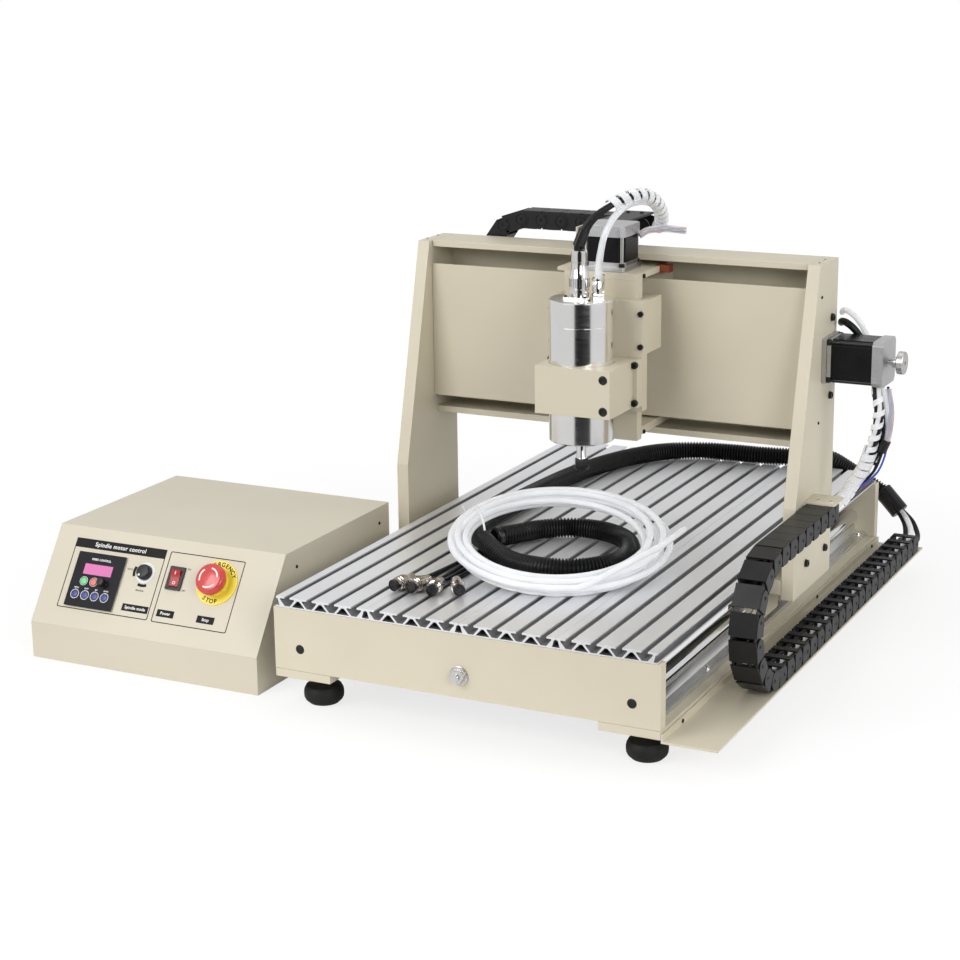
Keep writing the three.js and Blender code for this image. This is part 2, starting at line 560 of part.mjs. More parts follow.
// Water-cooled spindle with its cable socket and two hose barbs.
const SOCKET_TOP = 376;
const BARB_TOP = 344;
const BARBS = [[22, -2], [15, 19]];
addPart('spindle_body', combine([
  turnedZ([
    [0, SPINDLE_BOTTOM], [SPINDLE_RADIUS - 1, SPINDLE_BOTTOM], [SPINDLE_RADIUS, SPINDLE_BOTTOM + 1],
    [SPINDLE_RADIUS, SPINDLE_TOP - 1], [SPINDLE_RADIUS - 1, SPINDLE_TOP], [0, SPINDLE_TOP],
  ], AXIS_X, SPINDLE_Y, 48),
  turnedZ([
    [0, SPINDLE_TOP - 1], [17, SPINDLE_TOP - 1], [17, SPINDLE_TOP + 5], [12.5, SPINDLE_TOP + 5],
    [12.5, SPINDLE_TOP + 26], [10, SPINDLE_TOP + 36], [9.5, SOCKET_TOP], [0, SOCKET_TOP],
  ], AXIS_X - 2, SPINDLE_Y - 2, 20),
  ...BARBS.map(([dx, dy]) => turnedZ([
    [0, SPINDLE_TOP - 1], [6, SPINDLE_TOP - 1], [6, SPINDLE_TOP + 8], [4, SPINDLE_TOP + 8],
    [4, BARB_TOP], [0, BARB_TOP],
  ], AXIS_X + dx, SPINDLE_Y + dy, 12)),
], [turnedZ(rod(7.2, SPINDLE_BOTTOM - 1, SPINDLE_BOTTOM + 12), AXIS_X, SPINDLE_Y, 20)]), CHROME);

// Shaft, collet nut and the open collet that takes the shank of the cutter.
const COLLET = { radius: 3, depth: 20 };
const NUT = { radius: 9.5, chamfer: 1.5, height: 14 };
const NOSE_SHAFT = 6.5;
addPart('spindle_rotor', turnedZ([
  [COLLET.radius, SPINDLE_NOSE], [NUT.radius - NUT.chamfer, SPINDLE_NOSE], [NUT.radius, SPINDLE_NOSE + 2],
  [NUT.radius, SPINDLE_NOSE + NUT.height], [NOSE_SHAFT, SPINDLE_NOSE + NUT.height + 1],
  [NOSE_SHAFT, SPINDLE_BOTTOM + 11], [0, SPINDLE_BOTTOM + 11], [0, SPINDLE_NOSE + COLLET.depth],
  [COLLET.radius, SPINDLE_NOSE + COLLET.depth], [COLLET.radius, SPINDLE_NOSE],
], AXIS_X, SPINDLE_Y, 24), STEEL);

// ---- Cables held by the machine --------------------------------------------------------------
// From the spindle's socket over the Z motor to the head of the X chain.
const SOCKET = [AXIS_X - 2, SPINDLE_Y - 2];
addPart('spindle_bundle', tubeAlong([
  [...SOCKET, SOCKET_TOP + 0.5], [...SOCKET, SOCKET_TOP + 5], [254, 315, 396], [264, 322, 414],
  [284, 336, 433], [303, 356, 444], [319, 380, 445], [328, 404, 433], [326, 428, 414],
  [314, 452, 397], [296, 478, 386], [280, 503, 380], [270, 520, 378.5],
], 8, 10, 22), CLEAR_TUBE);

// From below the X motor down into the head of the Y chain.
addPart('gantry_bundle', tubeAlong([
  [582, 472, 205.5], [583, 472, 200], [590, 468, 182], [593, 461, 160], [587, 453, 130], [575, 446, 103],
  [559, 443, 78], [545, 438, 64], [535.5, 431, 58], [533, 425, 57.5], [533, 418.8, 57.5],
], 7, 10, 14), CLEAR_TUBE);

// ---- Free hose and tubing on the table ----------------------------------------------------------
// Corrugated conduit from the rear of the Y chain, over the rear right corner
// of the table and round in a loop.
const CONDUIT_RADIUS = 12.5;
const CONDUIT = [
  [531, 803, -87], [527, 822, -86], [518, 841, -77], [505, 852, -61], [489, 856, -45], [468, 857, -32],
  [446, 853, -18], [427, 843, -3], [408, 830, 10.5], [385, 817, 14], [350, 807, 13.5], [310, 802, 13],
  [270, 800, 13],
  [222, 792, 13], [180, 764, 13], [148, 715, 13], [126, 655, 13], [112, 583, 13], [105, 510, 13],
  [101, 440, 13], [101, 385, 13], [104, 340, 13], [115, 298, 13], [136, 261, 17], [156, 236, 21],
  [176, 216, 19], [210, 199, 13], [252, 191, 13], [290, 200, 13], [318, 226, 13], [329, 262, 13],
  [322, 302, 13], [298, 340, 13], [258, 361, 13], [217, 358, 13], [187, 336, 13], [169, 310, 13],
  [148.6, 278.8, 13],
];
addPart('conduit', tubeAlong(CONDUIT, CONDUIT_RADIUS, 10, 64), BLACK_PLASTIC);

// The four leads that leave the conduit, as one slim bundle.
addPart('lead_bundle', tubeAlong([
  [147, 276.2, 10], [146.6, 272, 7], [147.5, 265, 4], [150, 256, 3.3], [153.5, 241, 3.3],
  [156, 223, 3.3], [154, 202, 3.3], [148, 178, 3.3], [143, 155, 4], [142, 135, 6], [143, 123, 6.5],
], 3, 8, 16), BLACK_PLASTIC);

// Round cable plugs on the ends of the leads: [x, y, heading in degrees].
const PLUG_LENGTH = 40;
const PLUG_RADIUS = 8.5;
const PLUGS = [[124, 86, 258], [145, 88, 262], [166, 88, 281], [188, 100, 302]];
PLUGS.forEach(([x, y, heading], i) => {
  const half = PLUG_LENGTH / 2;
  const profile = [
    [0, -half], [4, -half], [6, -half + 3], [6, -half + 14], [PLUG_RADIUS, -half + 14],
    [PLUG_RADIUS, half - 9], [7, half - 9], [7, half], [0, half],
  ];
  const turn = THREE.MathUtils.degToRad(heading - 90);
  addPart(`connector_${i + 1}`, turned(profile, 16).rotateZ(turn).translate(x, y, PLUG_RADIUS + GAP), STEEL);
});

// Loose coil of clear water tube, lying over the loop of the conduit.
const COIL = { x: 249, y: 253, across: 120.3, deep: 131.2, lift: 37, section: 11.5, heading: 26.8 };
function tubeCoil() {
  const ring = turned(Array.from({ length: 12 }, (_, i) => {
    const angle = (i / 12) * 2 * Math.PI;
    return [1 + (COIL.section / COIL.across) * Math.cos(angle), COIL.section * Math.sin(angle)];
  }).concat([[1 + COIL.section / COIL.across, 0]]), 36).rotateX(Math.PI / 2);
  ring.scale(COIL.across, COIL.deep, 1);
  ring.rotateX(Math.asin(COIL.lift / (2 * COIL.deep)));
  ring.rotateZ(THREE.MathUtils.degToRad(COIL.heading));
  ring.translate(COIL.x, COIL.y, COIL.section + GAP + COIL.lift / 2);
  return ring;
}
const TUBE_RADIUS = 4;
const FREE_END = [
  [326, 147, 14], [342, 157.5, 20], [361, 177, 31], [376, 208, 37.5], [384, 255, 39.5], [384, 322, 40],
];
addPart('tube_coil', combine([tubeCoil(), tubeAlong(FREE_END, TUBE_RADIUS, 8, 12)]), CLEAR_TUBE);

// ---- Control box ------------------------------------------------------------------------------
const BOX_RIGHT = BOX_LEFT + BOX_WIDTH;
const BOX_BACK = BOX_FRONT + BOX_DEPTH;
const PANEL_HEIGHT = BOX_TOP - PANEL_BOTTOM;
const PANEL_TILT = Math.atan2(PANEL_HEIGHT, PANEL_RISE); // from the horizontal

// Moves a piece drawn flat, with u along X, v up the panel and w out of it.
function ontoPanel(geometry, u, v, w = 0) {
  return geometry.translate(u, v, w).rotateX(PANEL_TILT).translate(BOX_LEFT, BOX_FRONT, PANEL_BOTTOM);
}

function boxOutline(inset) {
  const i = inset;
  return outline([
    [BOX_FRONT + i, FLOOR + i], [BOX_BACK - i, FLOOR + i], [BOX_BACK - i, BOX_TOP - i],
    [BOX_FRONT + PANEL_RISE + i * 0.7, BOX_TOP - i], [BOX_FRONT + i, PANEL_BOTTOM - i * 0.3],
  ]);
}

const ESTOP = { u: 253.3, v: 84, radius: 20, height: 23 };
const ROCKER = { u: 193, v: 82, width: 13, length: 21 };
const MODE = { u: 147, v: 83.4, radius: 9 };
const SPEED = { u: 92.3, v: 61, radius: 5.5 };
const KEYPAD = { u0: 42, u1: 113, v0: 29, v1: 99, height: 2 };
const KEY_RADIUS = 4.6;
const VENT = { radius: 34, x: 90, z: 80 };
const KEYS = [
  ['key_start', 62, 61, GREEN], ['key_stop', 77, 61, RED], ['key_1', 54.3, 43, BLUE],
  ['key_2', 69.5, 43, BLUE], ['key_3', 84.5, 43, BLUE], ['key_4', 99.5, 43, BLUE],
];

function controlCase() {
  const outer = sweepX(boxOutline(0), BOX_LEFT, BOX_RIGHT);
  const inner = sweepX(boxOutline(BOX_SHEET), BOX_LEFT + BOX_SHEET, BOX_RIGHT - BOX_SHEET);
  const keypad = ontoPanel(block(KEYPAD.u0, KEYPAD.u1, KEYPAD.v0, KEYPAD.v1, -1, KEYPAD.height), 0, 0);
  const rockerGap = 0.6;
  const hole = (radius, u, v) => ontoPanel(turnedZ(rod(radius, -8, 8), 0, 0, 20), u, v);
  const vent = turnedY(rod(VENT.radius, BOX_BACK - 5, BOX_BACK + 5), BOX_LEFT + VENT.x, FLOOR + VENT.z, 24);
  const rocker = ontoPanel(block(-ROCKER.width / 2 - rockerGap, ROCKER.width / 2 + rockerGap,
    -ROCKER.length / 2 - rockerGap, ROCKER.length / 2 + rockerGap, -8, 8), ROCKER.u, ROCKER.v);
  return combine([outer, keypad], [inner, vent, rocker, hole(12, ESTOP.u, ESTOP.v), hole(3.6, MODE.u, MODE.v),
    hole(3.2, SPEED.u, SPEED.v), ...KEYS.map(([, u, v]) => hole(KEY_RADIUS + 0.4, u, v))]);
}
addPart('control_case', controlCase(), PAINT);

addPart('estop_button', ontoPanel(turnedZ([
  [0, -12], [10, -12], [10, 12], [17, 12], [ESTOP.radius - 1.5, 14], [ESTOP.radius, 17],
  [ESTOP.radius - 1, ESTOP.height], [ESTOP.radius - 6, ESTOP.height + 4.5], [0, ESTOP.height + 6],
], 0, 0, 28), ESTOP.u, ESTOP.v), RED);
addPart('rocker_switch', ontoPanel(sweepX(outline([
  [-ROCKER.length / 2, -5], [ROCKER.length / 2, -5], [ROCKER.length / 2, 5.5],
  [0, 2.6], [-ROCKER.length / 2, 2.4],
]), -ROCKER.width / 2, ROCKER.width / 2), ROCKER.u, ROCKER.v), RED);
addPart('mode_knob', ontoPanel(turnedZ([
  [0, -5], [3, -5], [3, 1], [MODE.radius, 1], [MODE.radius, 11], [MODE.radius - 1.5, 13], [0, 13],
], 0, 0, 20), MODE.u, MODE.v), BLACK_PLASTIC);
addPart('speed_knob', ontoPanel(turnedZ([
  [0, -5], [2.6, -5], [2.6, 2.6], [SPEED.radius, 2.6], [SPEED.radius - 0.7, 13], [0, 13],
], 0, 0, 16), SPEED.u, SPEED.v), BLACK_PLASTIC);
for (const [name, u, v, material] of KEYS) {
  addPart(name, ontoPanel(turnedZ(rod(KEY_RADIUS, -3, 3.6), 0, 0, 16), u, v), material);
}

// ---- Placing -------------------------------------------------------------------------------------
const ORIGIN = [(BOX_LEFT + KNOB_END) / 2, (NUT_FRONT + Y_KNOB_END) / 2, FLOOR];
model.position.set(-ORIGIN[0], -ORIGIN[1], -ORIGIN[2]);

export default model;
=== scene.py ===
import json
import math
import random

import bmesh
import bpy
from mathutils import Matrix, Vector
from mathutils.geometry import tessellate_polygon

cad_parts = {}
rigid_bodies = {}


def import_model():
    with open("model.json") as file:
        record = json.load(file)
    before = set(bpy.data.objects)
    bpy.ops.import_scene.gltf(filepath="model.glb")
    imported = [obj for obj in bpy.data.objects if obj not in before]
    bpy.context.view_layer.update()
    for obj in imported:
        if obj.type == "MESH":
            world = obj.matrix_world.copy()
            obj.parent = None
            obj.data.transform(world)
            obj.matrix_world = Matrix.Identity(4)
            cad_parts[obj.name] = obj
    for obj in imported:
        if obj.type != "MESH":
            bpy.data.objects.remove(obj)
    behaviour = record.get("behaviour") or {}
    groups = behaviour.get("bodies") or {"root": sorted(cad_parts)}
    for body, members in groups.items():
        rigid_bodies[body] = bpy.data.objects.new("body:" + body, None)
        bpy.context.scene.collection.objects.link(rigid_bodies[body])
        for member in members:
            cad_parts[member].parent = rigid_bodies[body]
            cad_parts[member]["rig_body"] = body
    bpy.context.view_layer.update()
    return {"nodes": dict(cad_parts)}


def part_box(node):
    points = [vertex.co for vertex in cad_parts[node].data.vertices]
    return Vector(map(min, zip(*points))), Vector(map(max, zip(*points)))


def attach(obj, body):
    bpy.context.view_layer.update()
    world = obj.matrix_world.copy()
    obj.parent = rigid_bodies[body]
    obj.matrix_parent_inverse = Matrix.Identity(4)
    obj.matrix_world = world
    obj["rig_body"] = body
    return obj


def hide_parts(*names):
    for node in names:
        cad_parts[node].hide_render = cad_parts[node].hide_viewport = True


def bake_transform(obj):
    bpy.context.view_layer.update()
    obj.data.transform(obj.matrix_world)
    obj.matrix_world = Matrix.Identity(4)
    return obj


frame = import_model()
nodes = frame["nodes"]

# ---- Layout -------------------------------------------------------------------
# Places are written in millimetres from the front left top corner of the table,
# and place() turns them into metres in the frame.
MM = 0.001
UNIT = Matrix.Diagonal((MM, MM, MM, 1))
TABLE_LOW, TABLE_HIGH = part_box("table_profile_1")
TABLE_GAP = 0.15
CORNER = Vector((TABLE_LOW.x - TABLE_GAP * MM, TABLE_LOW.y, TABLE_HIGH.z))
FLOOR = -140


def place(x, y, z):
    return CORNER + Vector((x, y, z)) * MM


def local_box(node):
    """A node's box in millimetres from the corner of the table."""
    low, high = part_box(node)
    return (low - CORNER) / MM, (high - CORNER) / MM


def at(x, y, z, normal=(0, 0, 1), turn=0.0):
    """Millimetres in a piece's own axes, +Z along normal, to metres in the frame."""
    rotation = Vector((0, 0, 1)).rotation_difference(Vector(normal)).to_matrix().to_4x4()
    spin = Matrix.Rotation(math.radians(turn), 4, "Z")
    return Matrix.Translation(place(x, y, z)) @ rotation @ spin @ UNIT


def axes(origin, x_axis, y_axis):
    """As at(), with the piece's own X and Y axes given."""
    x = Vector(x_axis).normalized()
    z = x.cross(Vector(y_axis)).normalized()
    turn = Matrix((x, z.cross(x), z)).transposed().to_4x4()
    return Matrix.Translation(place(*origin)) @ turn @ UNIT


FLAT = Matrix.Translation(CORNER) @ UNIT

# ---- Materials ------------------------------------------------------------------


def new_material(name):
    material = bpy.data.materials.new(name)
    material.use_nodes = True
    tree = material.node_tree
    return material, tree, tree.nodes["Principled BSDF"]


def noise(tree, scale, detail=2.0, stretch=(1, 1, 1)):
    """Noise over the object's own coordinates, in metres."""
    where = tree.nodes.new("ShaderNodeTexCoord")
    mapping = tree.nodes.new("ShaderNodeMapping")
    mapping.inputs["Scale"].default_value = stretch
    texture = tree.nodes.new("ShaderNodeTexNoise")
    texture.inputs["Scale"].default_value = scale
    texture.inputs["Detail"].default_value = detail
    tree.links.new(where.outputs["Object"], mapping.inputs["Vector"])
    tree.links.new(mapping.outputs["Vector"], texture.inputs["Vector"])
    return texture.outputs["Fac"]


def spread(tree, value, low, high):
    ramp = tree.nodes.new("ShaderNodeMapRange")
    ramp.inputs["From Min"].default_value = 0.3
    ramp.inputs["From Max"].default_value = 0.7
    ramp.inputs["To Min"].default_value = low
    ramp.inputs["To Max"].default_value = high
    tree.links.new(value, ramp.inputs["Value"])
    return ramp.outputs["Result"]


def shades(tree, value, dark, light):
    mix = tree.nodes.new("ShaderNodeMix")
    mix.data_type = "RGBA"
    low, high = [socket for socket in mix.inputs if socket.type == "RGBA"]
    low.default_value = (*dark, 1)
    high.default_value = (*light, 1)
    tree.links.new(spread(tree, value, 0.0, 1.0), mix.inputs[0])
    return next(socket for socket in mix.outputs if socket.type == "RGBA")


def bump(tree, shader, value, strength, depth):
    node = tree.nodes.new("ShaderNodeBump")
    node.inputs["Strength"].default_value = strength
    node.inputs["Distance"].default_value = depth
    tree.links.new(value, node.inputs["Height"])
    tree.links.new(node.outputs["Normal"], shader.inputs["Normal"])


def finish(name, color, roughness, metallic=0.0, varied=0.06, blotch=9, grain=900, relief=0.1,
           depth=0.0002, rough_spread=0.08, stretch=(1, 1, 1), **sockets):
    """A solid colour that varies a little, with a grain in its relief and its gloss."""
    material, tree, shader = new_material(name)
    dark = [c * (1 - varied) for c in color]
    light = [min(1, c * (1 + varied)) for c in color]
    tree.links.new(shades(tree, noise(tree, blotch), dark, light), shader.inputs["Base Color"])
    grain_value = noise(tree, grain, 3, stretch)
    gloss = spread(tree, grain_value, max(0, roughness - rough_spread), roughness + rough_spread)
    tree.links.new(gloss, shader.inputs["Roughness"])
    shader.inputs["Metallic"].default_value = metallic
    for socket, value in sockets.items():
        shader.inputs[socket.replace("_", " ")].default_value = value
    if relief:
        bump(tree, shader, grain_value, relief, depth)
    return material


ALONG_Y = (1, 0.012, 1)
AROUND = (0.03, 0.03, 1)

PAINT = finish("beige_powder_coat", (0.64, 0.585, 0.455), 0.42, varied=0.025, grain=1500, relief=0.22,
               depth=0.00012, Specular_IOR_Level=0.42)
CASE = finish("case_powder_coat", (0.62, 0.57, 0.455), 0.4, varied=0.02, grain=1300, relief=0.2,
              depth=0.00012)
TABLE = finish("anodised_extrusion", (0.84, 0.845, 0.86), 0.4, 0.72, 0.02, 14, 420, 0.05, 0.00004,
               0.04, ALONG_Y)
SLOT = finish("slot_shadow", (0.27, 0.272, 0.28), 0.5, 0.6, 0.1, 14, 420, 0.1, 0.00006)
RAIL = finish("rail_extrusion", (0.74, 0.74, 0.73), 0.3, 1.0, 0.06, 20, 420, 0.12, 0.00006, 0.08, ALONG_Y)
CHROME = finish("chromed_shaft", (0.83, 0.84, 0.86), 0.1, 1.0, 0.03, 30, 600, 0.03, 0.00003, 0.04, ALONG_Y)
STEEL = finish("turned_steel", (0.60, 0.59, 0.58), 0.3, 1.0, 0.08, 60, 900, 0.1, 0.00004, 0.1)
NICKEL = finish("nickel_plate", (0.80, 0.79, 0.77), 0.13, 1.0, 0.05, 60, 700, 0.05, 0.00003, 0.06)
PLUG_METAL = finish("plug_nickel", (0.46, 0.42, 0.39), 0.16, 1.0, 0.15, 90, 700, 0.05, 0.00003, 0.08)
SPINDLE = finish("polished_stainless", (0.88, 0.872, 0.868), 0.17, 1.0, 0.03, 25, 1400, 0.10, 0.00003,
                 0.05, AROUND)
CAST = finish("cast_motor_cap", (0.55, 0.55, 0.56), 0.32, 1.0, 0.06, 40, 1600, 0.25, 0.00008, 0.09)
MOTOR = finish("motor_black", (0.006, 0.006, 0.007), 0.26, 0.0, 0.3, 40, 2400, 0.12, 0.00006, 0.06,
               Specular_IOR_Level=0.16)
BLACK_BOLT = finish("black_oxide", (0.008, 0.008, 0.009), 0.36, 0.0, 0.3, 90, 1500, 0.15, 0.00005,
                    Specular_IOR_Level=0.35)
CHAIN = finish("chain_nylon", (0.010, 0.010, 0.011), 0.42, 0.0, 0.25, 45, 1100, 0.22, 0.00010, 0.1,
               Specular_IOR_Level=0.3)
GREY_CHAIN = finish("chain_charcoal", (0.010, 0.010, 0.012), 0.42, 0.0, 0.2, 45, 1100, 0.2, 0.0001, 0.1,
                    Specular_IOR_Level=0.3)
NYLON = finish("conduit_nylon", (0.006, 0.006, 0.0065), 0.33, 0.0, 0.25, 60, 900, 0.12, 0.00008, 0.08,
               Specular_IOR_Level=0.28)
SHEATH = finish("cable_sheath", (0.008, 0.008, 0.0085), 0.42, 0.0, 0.25, 60, 1300, 0.15, 0.00006,
                Specular_IOR_Level=0.3)
RUBBER = finish("foot_rubber", (0.011, 0.011, 0.011), 0.55, 0.0, 0.25, 60, 1400, 0.25, 0.0001,
                Specular_IOR_Level=0.25)
# The spiral wrap, the clear tubes and the coil tube carry a faint emission: a painted glow that brightens them,
# standing in for light passing through them.
WRAP = finish("spiral_wrap", (0.93, 0.935, 0.95), 0.24, 0.0, 0.02, 50, 700, 0.02, 0.00004, 0.05,
              Transmission_Weight=0.35, IOR=1.22, Emission_Color=(0.95, 0.96, 1, 1), Emission_Strength=0.05)
CLEAR = finish("clear_tube", (0.95, 0.965, 0.98), 0.10, 0.0, 0.02, 40, 500, 0.02, 0.00004, 0.05,
               Transmission_Weight=0.66, IOR=1.2, Emission_Color=(0.95, 0.97, 1, 1), Emission_Strength=0.05)
MILKY = finish("coil_tube", (0.93, 0.935, 0.95), 0.16, 0.0, 0.03, 40, 500, 0.05, 0.00005, 0.06,
               Transmission_Weight=0.4, IOR=1.3, Emission_Color=(0.93, 0.95, 1, 1), Emission_Strength=0.08)
RED_WIRE = finish("red_wire", (0.55, 0.03, 0.03), 0.4)
BLUE_WIRE = finish("blue_wire", (0.03, 0.06, 0.45), 0.4)
RED = finish("switch_red", (0.60, 0.055, 0.05), 0.26, 0.0, 0.06, 60, 1500, 0.06, 0.00005,
             Coat_Weight=0.3)
DEEP_RED = finish("rocker_red", (0.40, 0.018, 0.018), 0.25, 0.0, 0.08, 60, 1500, 0.05, 0.00005)
YELLOW = finish("disc_yellow", (0.90, 0.74, 0.07), 0.38, 0.0, 0.03, 60, 1500, 0.08, 0.00005)
ORANGE = finish("limit_block", (0.26, 0.055, 0.02), 0.45, 0.0, 0.15, 80, 1200, 0.2, 0.0001)
GLOSS_BLACK = finish("panel_black", (0.012, 0.012, 0.016), 0.35, 0.0, 0.15, 50, 1400, 0.05, 0.00005,
                     Specular_IOR_Level=0.15)
SATIN_BLACK = finish("knob_black", (0.008, 0.008, 0.009), 0.3, 0.0, 0.2, 70, 1400, 0.1, 0.00006,
                     Specular_IOR_Level=0.4)
DARK_INK = finish("dark_ink", (0.012, 0.011, 0.011), 0.5, 0.0, 0.1, 60, 1500, 0, Specular_IOR_Level=0.15)
WHITE_INK = finish("white_ink", (0.85, 0.85, 0.84), 0.45, 0.0, 0.03, 60, 1500, 0)
WHITE = finish("white_plastic", (0.83, 0.83, 0.82), 0.35, 0.0, 0.03, 60, 1200, 0.06, 0.00005)
GREEN = finish("key_green", (0.17, 0.66, 0.25), 0.38, 0.0, 0.06, 80, 1500, 0.08, 0.00005)
PINK_RED = finish("key_red", (0.85, 0.19, 0.16), 0.38, 0.0, 0.06, 80, 1500, 0.08, 0.00005)
BLUE = finish("key_blue", (0.05, 0.06, 0.26), 0.36, 0.0, 0.1, 80, 1500, 0.08, 0.00005)
DISPLAY = finish("display_window", (0.60, 0.15, 0.38), 0.3, 0.0, 0.03, 120, 1500, 0,
                 Emission_Color=(0.7, 0.14, 0.4, 1), Emission_Strength=0.15)
# Near black for pin holes, the gaps round sunk bolt heads and screw recesses: painted shade of those hollows.
HOLE_SHADE = finish("painted_hole_shade", (0.006, 0.006, 0.006), 0.8, 0.0, 0.1, 50, 900, 0)

# ---- Mesh building ----------------------------------------------------------------
random.seed(7)
HEX = "hex"


def ring_radius(radius, shape, angle):
    if shape != HEX:
        return radius
    sector = math.radians(60)
    return radius * math.cos(sector / 2) / math.cos(angle % sector - sector / 2)


class Piece:
    """Collects faces in the frame and makes them one object that rides on a body."""

    def __init__(self, name, body, slot, *materials):
        self.name = name
        self.body = body
        self.slot = slot
        self.materials = materials
        self.points = []
        self.faces = []
        self.kinds = []

    def add(self, points, faces, where=FLAT, material=0):
        start = len(self.points)
        self.points += [where @ Vector(p) for p in points]
        self.faces += [[start + i for i in face] for face in faces]
        self.kinds += [material] * len(faces)

    def box(self, low, high, where=FLAT, material=0):
        points = [(x, y, z) for z in (low[2], high[2]) for y in (low[1], high[1]) for x in (low[0], high[0])]
        faces = [(0, 2, 3, 1), (4, 5, 7, 6), (0, 1, 5, 4), (2, 6, 7, 3), (0, 4, 6, 2), (1, 3, 7, 5)]
        self.add(points, faces, where, material)

    def prism(self, outline, low, high, where=FLAT, material=0):
        """An outline in the piece's own X and Y, from low to high along its Z."""
        n = len(outline)
        area = sum(a[0] * b[1] - b[0] * a[1] for a, b in zip(outline, outline[1:] + outline[:1]))
        if area < 0:
            outline = outline[::-1]
        points = [(x, y, z) for z in (low, high) for x, y in outline]
        sides = [(i, (i + 1) % n, n + (i + 1) % n, n + i) for i in range(n)]
        self.add(points, [tuple(range(n))[::-1], tuple(range(n, 2 * n)), *sides], where, material)

    def plate(self, outline, holes, low, high, where=FLAT, material=0):
        """As prism(), with round or shaped holes through it."""
        loops = [[Vector((x, y, 0)) for x, y in loop] for loop in (outline, *holes)]
        flat = [p for loop in loops for p in loop]
        top = []
        for a, b, c in tessellate_polygon(loops):
            turned = (flat[b] - flat[a]).cross(flat[c] - flat[a]).z
            top.append((a, b, c) if turned > 0 else (a, c, b))
        n = len(flat)
        points = [(p.x, p.y, z) for z in (low, high) for p in flat]
        faces = [(n + a, n + b, n + c) for a, b, c in top] + [(c, b, a) for a, b, c in top]
        start = 0
        for k, loop in enumerate(loops):
            m = len(loop)
            area = sum(a.cross(b).z for a, b in zip(loop, loop[1:] + loop[:1]))
            for i in range(m):
                p, q = start + i, start + (i + 1) % m
                outward = (area > 0) == (k == 0)
                faces.append((p, q, n + q, n + p) if outward else (q, p, n + p, n + q))
            start += m
        self.add(points, faces, where, material)

    def lathe(self, profile, where, material=0, sides=24):
        """[radius, height] or [radius, height, HEX] rings about the piece's own Z."""
        rings = []
        points = []
        for radius, height, *shape in profile:
            if radius == 0:
                rings.append([len(points)] * sides)
                points.append((0, 0, height))
                continue
            rings.append(list(range(len(points), len(points) + sides)))
            for i in range(sides):
                angle = i / sides * 2 * math.pi
                r = ring_radius(radius, shape[0] if shape else None, angle)
                points.append((r * math.cos(angle), r * math.sin(angle), height))
        faces = []
        for a, b in zip(rings, rings[1:]):
            for i in range(sides):
                j = (i + 1) % sides
                face = [a[i], a[j], b[j], b[i]]
                faces.append([p for k, p in enumerate(face) if p not in face[:k]])
        self.add(points, [f for f in faces if len(f) > 2], where, material)

    def sweep(self, path, radii, sides=12, material=0):
        """A closed tube along points in the frame, with one radius in metres for each point."""
        points = []
        for (centre, side, up), radius in zip(moving_axes(path), radii):
            for i in range(sides):
                angle = i / sides * 2 * math.pi
                points.append(centre + (side * math.cos(angle) + up * math.sin(angle)) * radius)
        n = len(path)
        faces = [
            (k * sides + i, k * sides + (i + 1) % sides, (k + 1) * sides + (i + 1) % sides, (k + 1) * sides + i)
            for k in range(n - 1) for i in range(sides)
        ]
        faces += [tuple(range(sides))[::-1], tuple(range((n - 1) * sides, n * sides))]
        self.add(points, faces, Matrix(), material)

    def wrap(self, path, radius, width, pitch, thickness, material=0):
        """A helical strip around points in the frame, all in metres."""
        axes_here = moving_axes(path)
        travelled = 0.0
        points = []
        for k, (centre, side, up) in enumerate(axes_here):
            if k:
                travelled += (centre - axes_here[k - 1][0]).length
            forward = side.cross(up)
            angle = travelled / pitch * 2 * math.pi
            out = side * math.cos(angle) + up * math.sin(angle)
            for r in (radius, radius - thickness):
                for along in (-width / 2, width / 2):
                    points.append(centre + out * r + forward * along)
        faces = []
        for k in range(len(path) - 1):
            a, b = 4 * k, 4 * k + 4
            faces += [(a, a + 1, b + 1, b), (a + 3, a + 2, b + 2, b + 3),
                      (a + 2, a, b, b + 2), (a + 1, a + 3, b + 3, b + 1)]
        last = 4 * (len(path) - 1)
        faces += [(0, 2, 3, 1), (last, last + 1, last + 3, last + 2)]
        self.add(points, faces, Matrix(), material)

    def text(self, words, size, where, material=0, weight=0.012, spacing=1.0):
        """Flat lettering in the piece's own X and Y, a hair proud of its plane."""
        curve = bpy.data.curves.new("lettering", "FONT")
        curve.body = words
        curve.size = size
        curve.extrude = 0.04
        curve.offset = size * weight
        curve.space_character = spacing
        curve.align_x = "CENTER"
        curve.align_y = "CENTER"
        holder = bpy.data.objects.new("lettering", curve)
        mesh = holder.to_mesh()
        points = [v.co.copy() for v in mesh.vertices]
        faces = [list(p.vertices) for p in mesh.polygons]
        holder.to_mesh_clear()
        bpy.data.objects.remove(holder)
        bpy.data.curves.remove(curve)
        self.add(points, faces, where, material)

    def make(self, bevel=0.0, replaces=(), angle=32):
        mesh = bpy.data.meshes.new(self.name)
        mesh.from_pydata(self.points, [], self.faces)
        for material in self.materials:
            mesh.materials.append(material)
        mesh.polygons.foreach_set("material_index", self.kinds)
        mesh.update()
        thing = bpy.data.objects.new(self.name, mesh)
        bpy.context.scene.collection.objects.link(thing)
        if bevel:
            rounding = thing.modifiers.new("rounded_edges", "BEVEL")
            rounding.width = bevel * MM
            rounding.segments = 2
            rounding.angle_limit = math.radians(40)
            rounding.harden_normals = True
        smooth(mesh, angle)
        if self.body:
            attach(thing, self.body)
        if replaces:
            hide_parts(*replaces)
        return thing


def smooth(mesh, angle):
    mesh.shade_smooth()
    mesh.set_sharp_from_angle(angle=math.radians(angle))


